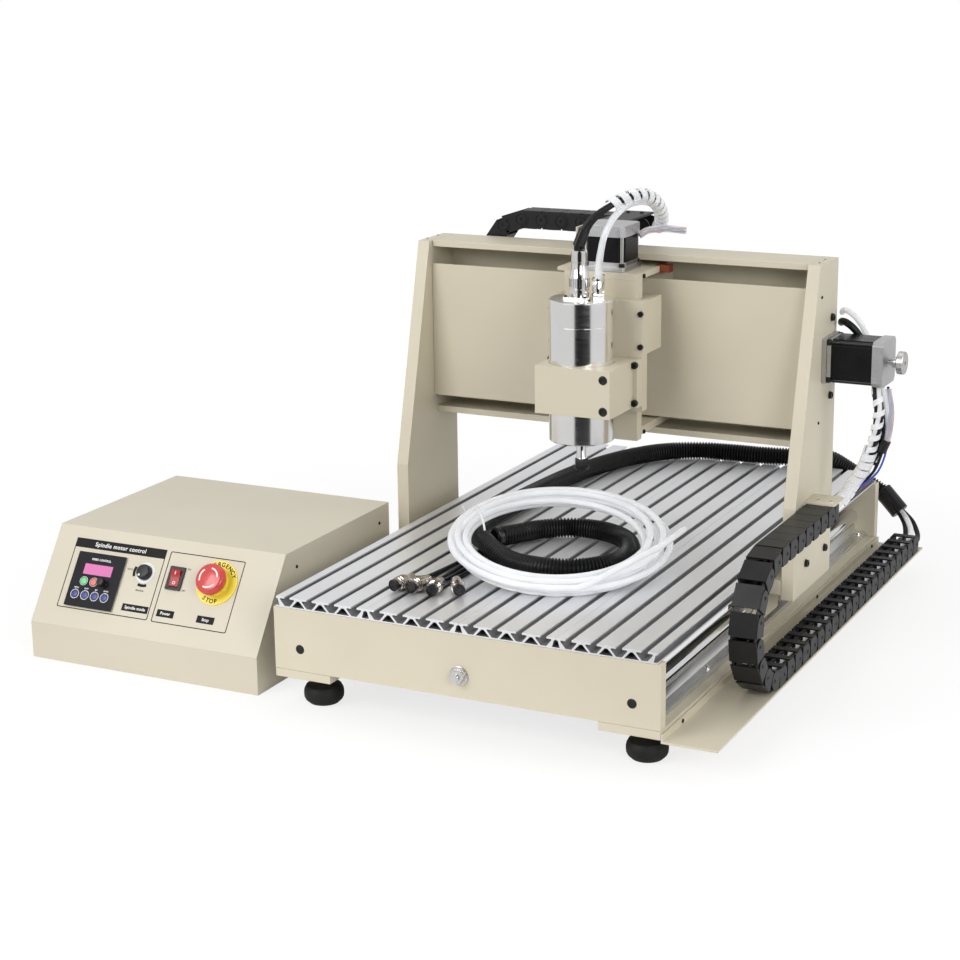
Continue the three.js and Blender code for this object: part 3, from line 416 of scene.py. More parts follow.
def moving_axes(path):
    """(point, side, up) along a path, turning as little as possible."""
    count = len(path)
    result = []
    side = None
    for k, point in enumerate(path):
        forward = (path[min(k + 1, count - 1)] - path[max(k - 1, 0)]).normalized()
        if side is None:
            side = forward.orthogonal().normalized()
        side = (side - forward * side.dot(forward)).normalized()
        result.append((point, side, forward.cross(side)))
    return result


def smooth_route(points, spacing):
    """Centripetal Catmull-Rom curve through points in millimetres, as points in the frame."""
    line = [place(*p) for p in points]
    line = [line[0] * 2 - line[1], *line, line[-1] * 2 - line[-2]]
    dense = []
    for a, b, c, d in zip(line, line[1:], line[2:], line[3:]):
        t1 = max((b - a).length, 1e-9) ** 0.5
        t2 = t1 + (c - b).length ** 0.5
        t3 = t2 + max((d - c).length, 1e-9) ** 0.5
        steps = max(2, round((c - b).length / MM))
        for i in range(steps):
            t = t1 + (t2 - t1) * i / steps
            a1 = a * ((t1 - t) / t1) + b * (t / t1)
            a2 = b * ((t2 - t) / (t2 - t1)) + c * ((t - t1) / (t2 - t1))
            a3 = c * ((t3 - t) / (t3 - t2)) + d * ((t - t2) / (t3 - t2))
            b1 = a1 * ((t2 - t) / t2) + a2 * (t / t2)
            b2 = a2 * ((t3 - t) / (t3 - t1)) + a3 * ((t - t1) / (t3 - t1))
            dense.append(b1 * ((t2 - t) / (t2 - t1)) + b2 * ((t - t1) / (t2 - t1)))
    dense.append(line[-2])
    return evenly(dense, spacing)


def evenly(dense, spacing):
    total = route_length(dense)
    count = max(2, round(total / (spacing * MM)))
    result = [dense[0]]
    travelled = 0.0
    for a, b in zip(dense, dense[1:]):
        step = (b - a).length
        while len(result) < count and travelled + step >= total * len(result) / count - 1e-12:
            share = (total * len(result) / count - travelled) / max(step, 1e-12)
            result.append(a.lerp(b, share))
        travelled += step
    if (result[-1] - dense[-1]).length > 1e-6:
        result.append(dense[-1])
    return result


def route_length(path):
    return sum((b - a).length for a, b in zip(path, path[1:]))


def sheathed(name, points, diameter, body, slot, material, spacing=3, sides=12,
             replaces=(), path=None):
    """A plain round cable or tube."""
    path = path or smooth_route(points, spacing)
    piece = Piece(name, body, slot, material)
    piece.sweep(path, [diameter / 2 * MM] * len(path), sides)
    thing = piece.make(replaces=replaces)
    return thing, path


# ---- Camera and studio --------------------------------------------------------------
CAMERA_PLACE = (1277.71, -1998.17, 774.05)
CAMERA_YAW = math.radians(26.77)
CAMERA_PITCH = math.radians(15.11)
CAMERA_ROLL = math.radians(-0.79)
SENSOR_WIDTH = 36
LENS = 79.48
BAND_TURN = CAMERA_YAW
BAND_HALF = math.radians(26)
BAND_EDGE = math.radians(3)
BAND_STRENGTH = 0.01
ROOM_STRENGTH = 0.7
SPINDLE_AXIS = (252, 314)
FLOOR_WHITE = 0.75


def add_camera():
    camera = bpy.data.cameras.new("camera")
    camera.sensor_width = SENSOR_WIDTH
    camera.lens = LENS
    camera.clip_end = 60
    holder = bpy.data.objects.new("camera", camera)
    right = Vector((math.cos(CAMERA_YAW), math.sin(CAMERA_YAW), 0))
    ahead = Vector((-math.sin(CAMERA_YAW), math.cos(CAMERA_YAW), 0)) * math.cos(CAMERA_PITCH)
    ahead.z = -math.sin(CAMERA_PITCH)
    up = right.cross(ahead)
    leaned = right * math.cos(CAMERA_ROLL) + up * math.sin(CAMERA_ROLL)
    upright = up * math.cos(CAMERA_ROLL) - right * math.sin(CAMERA_ROLL)
    turn = Matrix((leaned, upright, -ahead)).transposed().to_4x4()
    holder.matrix_world = Matrix.Translation(place(*CAMERA_PLACE)) @ turn
    bpy.context.scene.collection.objects.link(holder)
    bpy.context.scene.camera = holder


def area_light(name, where, target, size, power, colour=(1, 1, 1)):
    light = bpy.data.lights.new(name, "AREA")
    light.shape = "RECTANGLE"
    light.size, light.size_y = size
    light.energy = power
    light.color = colour
    holder = bpy.data.objects.new(name, light)
    direction = Vector(target) - Vector(where)
    holder.matrix_world = Matrix.Translation(where) @ direction.to_track_quat("-Z", "Y").to_matrix().to_4x4()
    bpy.context.scene.collection.objects.link(holder)


def room_strength(tree, direction):
    """How bright the room is that way: dark in a band behind the camera, bright elsewhere."""
    level = tree.nodes.new("ShaderNodeVectorMath")
    level.operation = "MULTIPLY"
    level.inputs[1].default_value = (1, 1, 0)
    tree.links.new(direction, level.inputs[0])
    heading = tree.nodes.new("ShaderNodeVectorMath")
    heading.operation = "NORMALIZE"
    tree.links.new(level.outputs["Vector"], heading.inputs[0])
    around = tree.nodes.new("ShaderNodeVectorMath")
    around.operation = "DOT_PRODUCT"
    around.inputs[1].default_value = (math.sin(BAND_TURN), -math.cos(BAND_TURN), 0)
    tree.links.new(heading.outputs["Vector"], around.inputs[0])
    band = tree.nodes.new("ShaderNodeMapRange")
    band.inputs["From Min"].default_value = math.cos(BAND_HALF + BAND_EDGE)
    band.inputs["From Max"].default_value = math.cos(BAND_HALF)
    band.inputs["To Min"].default_value = ROOM_STRENGTH
    band.inputs["To Max"].default_value = BAND_STRENGTH
    tree.links.new(around.outputs["Value"], band.inputs["Value"])
    return band.outputs["Result"]


def add_world(scene):
    """White to the eye; to the metal, a bright room with a dark band behind the camera."""
    world = bpy.data.worlds.new("studio")
    scene.world = world
    world.use_nodes = True
    tree = world.node_tree
    plain = tree.nodes["Background"]
    plain.inputs["Color"].default_value = (1, 1, 1, 1)
    plain.inputs["Strength"].default_value = 1.0
    room = tree.nodes.new("ShaderNodeBackground")
    room.inputs["Color"].default_value = (1, 1, 1, 1)
    where = tree.nodes.new("ShaderNodeTexCoord")
    tree.links.new(room_strength(tree, where.outputs["Generated"]), room.inputs["Strength"])
    path = tree.nodes.new("ShaderNodeLightPath")
    choice = tree.nodes.new("ShaderNodeMixShader")
    tree.links.new(path.outputs["Is Camera Ray"], choice.inputs["Fac"])
    tree.links.new(room.outputs["Background"], choice.inputs[1])
    tree.links.new(plain.outputs["Background"], choice.inputs[2])
    tree.links.new(choice.outputs["Shader"], tree.nodes["World Output"].inputs["Surface"])


def floor_material():
    """White to the eye but for faint shadows; to the metal, matt and pale, then as dark as the room."""
    material, tree, shader = new_material("pale_floor")
    shader.inputs["Base Color"].default_value = (0.95, 0.95, 0.95, 1)
    shader.inputs["Roughness"].default_value = 0.7
    shader.inputs["Specular IOR Level"].default_value = 0.15
    where = tree.nodes.new("ShaderNodeTexCoord")
    reach = tree.nodes.new("ShaderNodeVectorMath")
    reach.operation = "LENGTH"
    tree.links.new(where.outputs["Object"], reach.inputs[0])
    path = tree.nodes.new("ShaderNodeLightPath")
    whiteness = tree.nodes.new("ShaderNodeMath")
    whiteness.operation = "MULTIPLY"
    whiteness.inputs[1].default_value = FLOOR_WHITE
    tree.links.new(path.outputs["Is Camera Ray"], whiteness.inputs[0])
    fade = tree.nodes.new("ShaderNodeMapRange")
    fade.interpolation_type = "SMOOTHSTEP"
    fade.inputs["From Min"].default_value = 0.5
    fade.inputs["From Max"].default_value = 1.15
    fade.inputs["To Max"].default_value = 1.0
    tree.links.new(whiteness.outputs["Value"], fade.inputs["To Min"])
    tree.links.new(reach.outputs["Value"], fade.inputs["Value"])
    from_spindle = tree.nodes.new("ShaderNodeVectorMath")
    from_spindle.operation = "SUBTRACT"
    from_spindle.inputs[1].default_value = place(*SPINDLE_AXIS, 0)
    tree.links.new(where.outputs["Object"], from_spindle.inputs[0])
    strength = tree.nodes.new("ShaderNodeMix")
    strength.data_type = "FLOAT"
    low, high = [socket for socket in strength.inputs if socket.type == "VALUE"][1:3]
    high.default_value = 1.02
    tree.links.new(path.outputs["Is Camera Ray"], strength.inputs[0])
    tree.links.new(room_strength(tree, from_spindle.outputs["Vector"]), low)
    white = tree.nodes.new("ShaderNodeEmission")
    white.inputs["Color"].default_value = (1, 1, 1, 1)
    tree.links.new(next(socket for socket in strength.outputs if socket.type == "VALUE"), white.inputs["Strength"])
    mix = tree.nodes.new("ShaderNodeMixShader")
    tree.links.new(fade.outputs["Result"], mix.inputs["Fac"])
    tree.links.new(shader.outputs["BSDF"], mix.inputs[1])
    tree.links.new(white.outputs["Emission"], mix.inputs[2])
    tree.links.new(mix.outputs["Shader"], tree.nodes["Material Output"].inputs["Surface"])
    return material


def add_studio():
    scene = bpy.context.scene
    scene.view_settings.view_transform = "Standard"
    add_world(scene)
    area_light("key", (-1.1, -2.6, 1.9), (0, 0, 0.25), (1.8, 1.4), 46)
    area_light("front_right", (2.3, -2.3, 1.25), (0.15, 0, 0.3), (1.2, 1.4), 33)
    area_light("side", (2.5, -0.2, 1.3), (0.1, 0, 0.25), (0.9, 1.5), 9)
    area_light("top", (0.1, 0.7, 2.9), (0, 0, 0.1), (2.0, 2.0), 8)
    mesh = bpy.data.meshes.new("floor")
    half = 14
    mesh.from_pydata([(-half, -half, 0), (half, -half, 0), (half, half, 0), (-half, half, 0)], [], [(0, 1, 2, 3)])
    floor = bpy.data.objects.new("floor", mesh)
    floor.data.materials.append(floor_material())
    scene.collection.objects.link(floor)


add_camera()
add_studio()

# ---- Cords: conduit, leads and the coil of water tube -------------------------------
CONDUIT_RADIUS = 12.5
CONDUIT_PITCH = 4.2
CONDUIT = [
    (505, 852, -61), (489, 856, -45), (468, 857, -32), (446, 853, -18), (427, 843, -3), (408, 830, 10.5),
    (385, 817, 14), (350, 807, 13.5), (310, 802, 13), (270, 800, 13),
    (222, 792, 13), (180, 764, 13), (148, 715, 13), (126, 655, 13), (112, 583, 13), (105, 510, 13),
    (101, 440, 13), (101, 385, 13), (104, 340, 13), (115, 298, 13), (136, 261, 17), (156, 236, 21),
    (176, 216, 19), (210, 199, 13), (252, 191, 13), (290, 200, 13), (318, 226, 13), (329, 262, 13),
    (322, 302, 13), (298, 340, 13), (258, 361, 13), (217, 358, 13), (187, 336, 13), (169, 310, 13),
    (148.6, 278.8, 13),
]


def collar(piece, path, k, radius, length, material=0):
    """A short moulded sleeve around a cord, centred on path[k]."""
    centre, side, up = moving_axes(path)[k]
    forward = side.cross(up)
    where = Matrix((side, up, forward)).transposed().to_4x4()
    where = Matrix.Translation(centre) @ where @ UNIT
    half = length / 2
    piece.lathe([[0, -half], [radius - 1, -half], [radius, 1 - half], [radius, half - 1],
                 [radius - 1, half], [0, half]], where, material, 24)


def add_conduit():
    path = smooth_route(CONDUIT, CONDUIT_PITCH / 4)
    valley = CONDUIT_RADIUS - 2.3
    radii = [(CONDUIT_RADIUS, CONDUIT_RADIUS, valley + 0.2, valley)[k % 4] * MM for k in range(len(path))]
    tube = Piece("conduit_tube", "base", "conduit_black", NYLON)
    tube.sweep(path, radii, 20)
    thing = tube.make(replaces=["conduit"], angle=60)
    mouths = Piece("conduit_ends", "base", "conduit_black", SATIN_BLACK)
    collar(mouths, path, 17, CONDUIT_RADIUS + 0.7, 40)
    collar(mouths, path, len(path) - 6, CONDUIT_RADIUS + 0.4, 8)
    ends = mouths.make()


# Cables that leave the rear end of the Y chain and go into the mouth of the conduit.
CHAIN_TAILS = [
    [(524, 800, -88), (524, 818, -90), (521, 834, -85), (516, 845, -76), (508, 851, -66), (498, 853, -55)],
    [(532, 800, -86), (532, 818, -86), (528, 835, -81), (520, 846, -72), (510, 853, -63), (499, 855, -54)],
    [(540, 800, -88), (541, 820, -92), (536, 842, -88), (525, 854, -75), (512, 857, -64), (500, 857, -54)],
]


def add_chain_tails():
    for i, (points, material) in enumerate(zip(CHAIN_TAILS, (SHEATH, MILKY, SHEATH))):
        sheathed(f"chain_tail_{i + 1}", points, (7, 8, 7)[i], "base", "lead_black", material)


# Round cable plugs: x, y and heading in degrees, as in the CAD.
PLUGS = [(124, 86, 258), (145, 88, 262), (166, 88, 281), (188, 100, 302)]
PLUG_LENGTH = 40
PLUG_RADIUS = 8.5
PLUG_HEIGHT = 8.8
LEAD_DIAMETER = 5
LEAD_FAN = [-7, -2, 3, 8]


def lead_points(i):
    """From the mouth of the conduit to the tail of plug i, side by side with the other leads."""
    x, y, heading = PLUGS[i]
    turn = math.radians(heading)
    tail = PLUG_LENGTH / 2 - 2
    tail_x = x - math.cos(turn) * tail
    tail_y = y - math.sin(turn) * tail
    fan = LEAD_FAN[i]
    out_x = tail_x - math.cos(turn) * 22
    out_y = tail_y - math.sin(turn) * 22
    low = LEAD_DIAMETER / 2 + 0.4
    start = [(148.6 + fan * 0.3, 278.6, 11), (147 + fan * 0.5, 273, 8), (147 + fan * 0.8, 265, 4.4)]
    middle = [(150 + fan * 1.1, 256, low), (153.5 + fan * 1.3, 241, low), (156 + fan * 1.6, 223, low),
              (154 + fan * 1.9, 202, low)]
    last_x, last_y = middle[-1][0], middle[-1][1]
    for share in (0.3, 0.6):
        middle.append((last_x + (out_x - last_x) * share, last_y + (out_y - last_y) * share, low))
    return [*start, *middle, (out_x, out_y, low + 1), (tail_x - math.cos(turn) * 8,
            tail_y - math.sin(turn) * 8, PLUG_HEIGHT - 2), (tail_x, tail_y, PLUG_HEIGHT)]


def plug(i):
    """A nickel cable plug with a black insert, its coupling ring knurled."""
    x, y, heading = PLUGS[i]
    turn = math.radians(heading)
    piece = Piece(f"plug_{i + 1}", "base", "connector_nickel", PLUG_METAL, SATIN_BLACK, HOLE_SHADE)
    where = at(x, y, PLUG_HEIGHT, (math.cos(turn), math.sin(turn), 0))
    half = PLUG_LENGTH / 2
    r = PLUG_RADIUS
    piece.lathe([[0, -half], [3.4, -half], [4.2, -half + 2], [5, -half + 3], [6.2, -half + 4], [6.2, -half + 13],
                 [7, -half + 13.6], [7, -half + 15, HEX], [7, -half + 18, HEX], [r - 0.9, -half + 18.5],
                 [r, -half + 19.2], [r, half - 12.5], [r - 0.8, half - 12], [r - 0.8, half - 10.5],
                 [r - 0.2, half - 10], [r - 0.2, half - 8.6], [7.2, half - 8], [7.2, half - 4],
                 [0, half - 4]], where, 0, 36)
    for k in range(24):
        knurl = where @ Matrix.Rotation(k / 24 * 2 * math.pi, 4, "Z")
        piece.box((r - 0.3, -0.45, -half + 20), (r + 0.22, 0.45, half - 13.2), knurl, 0)
    piece.lathe([[0, half - 4.2], [6.9, half - 4.2], [7.1, half - 0.6], [6.6, half - 0.2], [6, half - 0.2],
                 [5.8, half - 1.2], [0, half - 1.2]], where, 1, 32)
    # Five small dark discs on the insert mark the pin holes: painted shade in the holes.
    for k in range(5):
        angle = k / 5 * 2 * math.pi
        pin = where @ Matrix.Translation((3.4 * math.cos(angle), 3.4 * math.sin(angle), 0))
        piece.lathe([[0, half - 1.3], [0.9, half - 1.3], [0.9, half - 1.1], [0, half - 1.1]], pin, 2, 10)
    return piece.make(replaces=[f"connector_{i + 1}"])


def add_leads():
    for i in range(4):
        plug_piece = plug(i)
        replaced = ["lead_bundle"] if i == 0 else []
        sheathed(f"lead_{i + 1}", lead_points(i), LEAD_DIAMETER, "base", "lead_black", SHEATH,
                 replaces=replaced)


# The coil lies tilted over the loop of the conduit, as the ring in the CAD does.
COIL_CENTRE = (249, 253)
COIL_ACROSS = 120.3
COIL_DEEP = 131.2
COIL_LIFT = 37
COIL_SECTION = 11.5
COIL_HEADING = math.radians(26.8)
COIL_TURNS = 7
COIL_REST = 75 / 360
TUBE = 8
COIL_STEPS = 60
COIL_START = math.radians(205)
FREE_END = [(345, 154.5, 21.5), (362, 176, 31), (376, 208, 37.5), (384, 255, 39.5), (384, 290, 40), (384, 322, 40)]


def coil_point(turn, lane):
    """A place in the coil: turn counts round it, lane is (outwards, up) in millimetres."""
    angle = COIL_START + turn * 2 * math.pi
    out, up = lane
    x = (COIL_ACROSS + out) * math.cos(angle)
    y = (COIL_DEEP + out) * math.sin(angle)
    tilt = math.asin(COIL_LIFT / (2 * COIL_DEEP))
    y, z = y * math.cos(tilt) - up * math.sin(tilt), y * math.sin(tilt) + up * math.cos(tilt)
    c, s = math.cos(COIL_HEADING), math.sin(COIL_HEADING)
    middle = COIL_SECTION + 0.3 + COIL_LIFT / 2
    return Vector((COIL_CENTRE[0] + x * c - y * s, COIL_CENTRE[1] + x * s + y * c, middle + z))


def coil_path():
    """Round and round from lane to lane, the lanes opening out in places."""
    ring = TUBE * 1.04
    lanes = [(0, 0)]
    for degrees in (-60, -120, 180, 120, 0, 60):
        lanes.append((ring * math.cos(math.radians(degrees)), ring * math.sin(math.radians(degrees))))
    lanes.append((ring * 1.6, ring * 0.55))
    phases = [random.uniform(0, 0.9) + 0.35 * k for k in range(COIL_TURNS + 1)]
    points = []
    for k in range(round((COIL_TURNS + COIL_REST) * COIL_STEPS) + 1):
        turn = k / COIL_STEPS
        now = min(int(turn), COIL_TURNS)
        following = min(now + 1, COIL_TURNS)
        share = max(0.0, (turn - now - 0.75) / 0.25)
        share = share * share * (3 - 2 * share)
        out = lanes[now][0] + (lanes[following][0] - lanes[now][0]) * share
        up = lanes[now][1] + (lanes[following][1] - lanes[now][1]) * share
        phase = phases[now] + (phases[following] - phases[now]) * share
        around = COIL_START + turn * 2 * math.pi
        loose = (0.12 + 0.88 * (0.5 + 0.5 * math.cos(around - 0.35)) ** 1.5) * math.sin(around / 2 + phase) ** 2
        points.append(coil_point(turn, (out * (1 + 1.2 * loose) - 1.5, up * (1 + (0.5 * loose if up > 0 else 0)))))
    return points


TIE_OUTER = Vector((104, 299, 26))
TIE_INNER = Vector((153, 243, 26))


def add_coil():
    points = [tuple(p) for p in coil_path()] + FREE_END
    sheathed("water_tube_coil", points, TUBE, "base", "tube_clear", MILKY, spacing=3.2,
             replaces=["tube_coil"])
    tie = Piece("coil_tie", "base", "wrap_white", WHITE)
    middle = (TIE_OUTER + TIE_INNER) / 2
    reach = (TIE_INNER - TIE_OUTER) / 2
    loop = []
    for k in range(49):
        angle = math.pi + k / 48 * 2 * math.pi
        flat = reach * math.cos(angle)
        loop.append(place(*(middle + flat + Vector((0, 0, 24.5 * math.sin(angle))))))
    loop += [loop[-1] + Vector((-3, -1, 7)) * MM, loop[-1] + Vector((-9, -4, 19)) * MM]
    tie.sweep(loop, [1.3 * MM] * len(loop), 8)
    tie.box((-3, -2.6, -2.2), (3, 2.6, 2.2), at(*TIE_OUTER, (-0.6, 0.68, 0.4)))
    tie.make()


add_conduit()
add_chain_tails()
add_leads()
add_coil()

# ---- Cables on the machine --------------------------------------------------------------
SOCKET = (250, 312)
SPINDLE_ROUTE = [
    (250, 312, 376.5), (250, 312, 381), (254, 315, 396), (263, 321, 412), (280, 333, 427), (296, 350, 436),
    (307, 373, 437), (312, 398, 427), (309, 425, 411), (300, 450, 396), (287, 477, 386), (276, 502, 380),
    (270, 520, 378.5),
]
GANTRY_ROUTE = [
    (577, 464, 206), (580, 459, 196), (583.5, 456, 179), (581, 455, 154), (575, 455, 128), (567, 455, 105),
    (555, 454, 84), (546, 449, 68), (539, 438, 59.5), (534.5, 428, 57.5), (533, 418.8, 57.5),
]
MOTOR_LEAD_ROUTE = [
    (591, 465, 206.5), (593, 462, 199), (597, 460, 177), (594.5, 460, 144), (589.5, 460, 131), (586, 460, 119),
    (580, 459, 103), (568, 457, 87), (556, 452, 71), (547, 444, 60.5), (541.5, 434, 57.5), (540, 421, 57.5),
]
WATER_TUBES = [
    [(274, 312, 342), (274.5, 312, 356), (277, 313, 374), (280, 318, 394), (286, 328, 412), (296, 341, 426),
     (305, 358, 432), (311, 380, 431), (313, 404, 419)],
    [(267, 333, 342), (267, 333.5, 356), (269, 334, 374), (273, 336, 394), (280, 342, 411), (291, 352, 424),
     (301, 366, 429), (309, 388, 426), (311, 410, 414)],
]


def beside(path, radius, phase, turns):
    """A path that winds slowly round another one."""
    count = len(path) - 1
    result = []
    for k, (centre, side, up) in enumerate(moving_axes(path)):
        angle = phase + k / count * turns * 2 * math.pi
        result.append(centre + (side * math.cos(angle) + up * math.sin(angle)) * radius * MM)
    return result


def bend(thing):
    """A piece made without a body, its transform baked into its mesh."""
    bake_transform(thing)


def add_spindle_cables():
    path = smooth_route(SPINDLE_ROUTE, 3)
    made = []
    for i, phase in enumerate((0.4, 3.5)):
        line = beside(path, 3.9, phase, 0.5)
        thing, _ = sheathed(f"spindle_cable_{i + 1}", None, 7.4, None, "lead_black", SHEATH,
                            path=line, replaces=["spindle_bundle"] if i == 0 else [])
        made.append(thing)
        boot = Piece(f"spindle_cable_boot_{i + 1}", None, "lead_black", SATIN_BLACK)
        collar(boot, line, 5, 4.9, 23)
        made.append(boot.make())
    for i, points in enumerate(WATER_TUBES):
        thing, _ = sheathed(f"water_tube_{i + 1}", points, TUBE, None, "tube_clear", CLEAR)
        made.append(thing)
    wrap = Piece("spindle_cable_wrap", None, "wrap_white", WRAP)
    wrapped = path[round(len(path) * 0.24):]
    wrap.wrap(evenly(wrapped, 0.9), 8.9 * MM, 9.6 * MM, 12.4 * MM, 1.1 * MM)
    made.append(wrap.make())
    for thing in made:
        bend(thing)


SLEEVE = [(282, 423, 380), (289, 430, 385), (299, 434, 387), (313, 437, 388), (326, 440, 387), (336, 443, 386)]


def add_motor_sleeve():
    """The clear sleeve over the Z motor's wires."""
    path = smooth_route(SLEEVE, 2.5)
    sheathed("z_motor_sleeve", None, 9, "carriage", "tube_clear", CLEAR, path=path)
    for i, material in enumerate((RED_WIRE, BLUE_WIRE, SHEATH)):
        line = beside(path, 1.9, i * 2.1, 0.8)
        piece = Piece(f"z_motor_wire_{i + 1}", "carriage", "lead_black", material)
        piece.sweep(line, [0.9 * MM] * len(line), 8)
        piece.make()


OVER_MOTOR = [
    [(517, 510, 285), (520, 504, 289), (527, 498, 290), (537, 497, 284), (546, 501, 271), (553, 508, 251),
     (559, 512, 228), (568, 509, 204), (580, 495, 180), (588, 476, 156), (587, 466, 136), (579, 460, 113)],
    [(517, 508, 273), (520, 501, 276), (527, 495, 276), (536, 495, 270), (544, 500, 258), (551, 508, 241),
     (558, 512, 219), (566, 507, 196), (577, 492, 174), (585, 473, 152), (584, 464, 132), (576, 459, 110)],
]


def add_gantry_cables():
    path = smooth_route(GANTRY_ROUTE, 3)
    wrap = Piece("gantry_cable_wrap", "gantry", "wrap_white", WRAP)
    middle = round(len(path) * 0.45)
    wrap.wrap(evenly(path[2:middle], 0.9), 7.1 * MM, 7 * MM, 15 * MM, 0.9 * MM)
    wrap.wrap(evenly(path[middle - 1:-4], 0.9), 9 * MM, 9.6 * MM, 10.9 * MM, 1.1 * MM)
    wrap.make()
    for i, (phase, material) in enumerate(((0.2, SHEATH), (2.3, SHEATH), (4.4, MILKY))):
        sheathed(f"gantry_cable_{i + 1}", None, 5.6, "gantry", "lead_black", material,
                 path=beside(path, 3.4, phase, 0.7), replaces=["gantry_bundle"] if i == 0 else [])
    for i, (points, diameter, material) in enumerate(zip(OVER_MOTOR, (7, 9), (MILKY, SHEATH))):
        sheathed(f"chain_cable_{i + 1}", points, diameter, "gantry", "lead_black", material)
    _, path = sheathed("motor_lead", MOTOR_LEAD_ROUTE, 3.4, "gantry", "lead_black", SHEATH)
    joint = round(len(path) * 0.39)
    sheathed("motor_lead_sleeve", None, 8, "gantry", "tube_clear", CLEAR, path=path[1:joint])
    fitting = Piece("motor_lead_joint", "gantry", "knob_black", SATIN_BLACK, RED_WIRE, BLUE_WIRE)
    collar(fitting, path, joint, 5.4, 17)
    for k, material in ((0, 1), (1, 2)):
        strand = beside(path[2:joint], 2.9, 2.2 + 2.4 * k, 0.5)
        fitting.sweep(strand, [1.0 * MM] * len(strand), 8, material)
        strand = beside(path[joint:round(len(path) * 0.72)], 4.6, 0.8 + 2.2 * k, 0.35)
        fitting.sweep(strand, [1.3 * MM] * len(strand), 8, material)
    fitting.make()


add_spindle_cables()
add_motor_sleeve()
add_gantry_cables()

# ---- Shared parts of the machine -----------------------------------------------------


def circle(x, y, radius, sides=32):
    return [(x + radius * math.cos(i / sides * 2 * math.pi), y + radius * math.sin(i / sides * 2 * math.pi))
            for i in range(sides)]


def rounded_box(x0, x1, y0, y1, radius, steps=6):
    corners = [(x1 - radius, y1 - radius, 0), (x0 + radius, y1 - radius, 90),
               (x0 + radius, y0 + radius, 180), (x1 - radius, y0 + radius, 270)]
    return [(x + radius * math.cos(math.radians(start + 90 * i / steps)),
             y + radius * math.sin(math.radians(start + 90 * i / steps)))
            for x, y, start in corners for i in range(steps + 1)]


def softened(name, width, material):
    """A CAD node again, with its edges rounded."""
    mesh = nodes[name].data.copy()
    mesh.name = f"{name}_finished"
    mesh.materials.clear()
    mesh.materials.append(material)
    shell = bmesh.new()
    shell.from_mesh(mesh)
    bmesh.ops.remove_doubles(shell, verts=shell.verts, dist=0.02 * MM)
    bmesh.ops.dissolve_limit(shell, angle_limit=math.radians(1), verts=shell.verts, edges=shell.edges)
    shell.to_mesh(mesh)
    shell.free()
    thing = bpy.data.objects.new(f"{name}_finished", mesh)
    bpy.context.scene.collection.objects.link(thing)
    rounding = thing.modifiers.new("rounded_edges", "BEVEL")
    rounding.width = width * MM
    rounding.segments = 3
    rounding.angle_limit = math.radians(28)
    rounding.harden_normals = True
    smooth(mesh, 24)
    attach(thing, nodes[name]["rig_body"])
    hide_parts(name)
    return thing


def socket_bolt(piece, where, radius=4.0, height=3.5, material=0):
    """A cap screw whose head stands on the piece's own plane."""
    key = radius * 0.52
    piece.lathe([[0, -0.3], [radius, -0.3], [radius, height - 0.5], [radius - 0.5, height],
                 [key + 0.25, height], [key, height - 0.3, HEX], [key, height * 0.35, HEX],
                 [0, height * 0.35]], where, material, 24)


def phillips(piece, where, radius=2.6, material=0, slot_material=1):
    piece.lathe([[0, -0.3], [radius, -0.3], [radius, 0.4], [radius * 0.8, 1.05], [radius * 0.4, 1.4], [0, 1.5]],
                where, material, 20)
    arm = radius * 0.55
    thin = radius * 0.14
    # The recess is drawn as a cross of two bars standing proud of the head in the slot material: painted shade of the
    # recess.
    piece.box((-arm, -thin, 1.0), (arm, thin, 1.52), where, slot_material)
    piece.box((-thin, -arm, 1.0), (thin, arm, 1.52), where, slot_material)


def turned(name, profile, where, body, slot, material, node, sides=48, angle=32):
    piece = Piece(name, body, slot, material)
    piece.lathe(profile, where, 0, sides)
    return piece.make(replaces=[node] if node else [], angle=angle)


def threaded(start, end, radius, pitch, depth):
    """The rings of a screw thread, from start to end."""
    rings = []
    count = int((end - start) / pitch)
    for k in range(count):
        low = start + k * pitch
        rings += [[radius - depth, low], [radius, low + pitch * 0.3], [radius, low + pitch * 0.6],
                  [radius - depth, low + pitch * 0.9]]
    return rings


# ---- Table and base ---------------------------------------------------------------------
LENGTH = 820
SHAFT_X = [30, 450]
SHAFT_Z = -62
SCREW_X = 240
TABLE_WIDTH = 480
SLOT_LIP = 2.05
FRONT_NORMAL = (0, -1, 0)
REAR_NORMAL = (0, 1, 0)
RIGHT_NORMAL = (1, 0, 0)
LEFT_NORMAL = (-1, 0, 0)


def add_tray_screws():
    screws = Piece("tray_screws", "base", "knob_black", BLACK_BOLT, HOLE_SHADE)
    for y in (59, 538, 785):
        phillips(screws, at(486.8, y, -97, RIGHT_NORMAL), 2.6)
    screws.make()


def add_table():
    for i in range(4):
        profile = softened(f"table_profile_{i + 1}", 0.22, TABLE)
        profile.data.materials.append(SLOT)
        for face in profile.data.polygons:
            spot = (face.center - CORNER) / MM
            inside = spot.z < -SLOT_LIP and 0.8 < spot.x < TABLE_WIDTH - 0.8
            if inside and abs(face.normal.y) < 0.9:
                face.material_index = 1
    softened("front_plate", 0.9, PAINT)
    softened("rear_plate", 0.9, PAINT)
    softened("chain_tray", 0.5, PAINT)


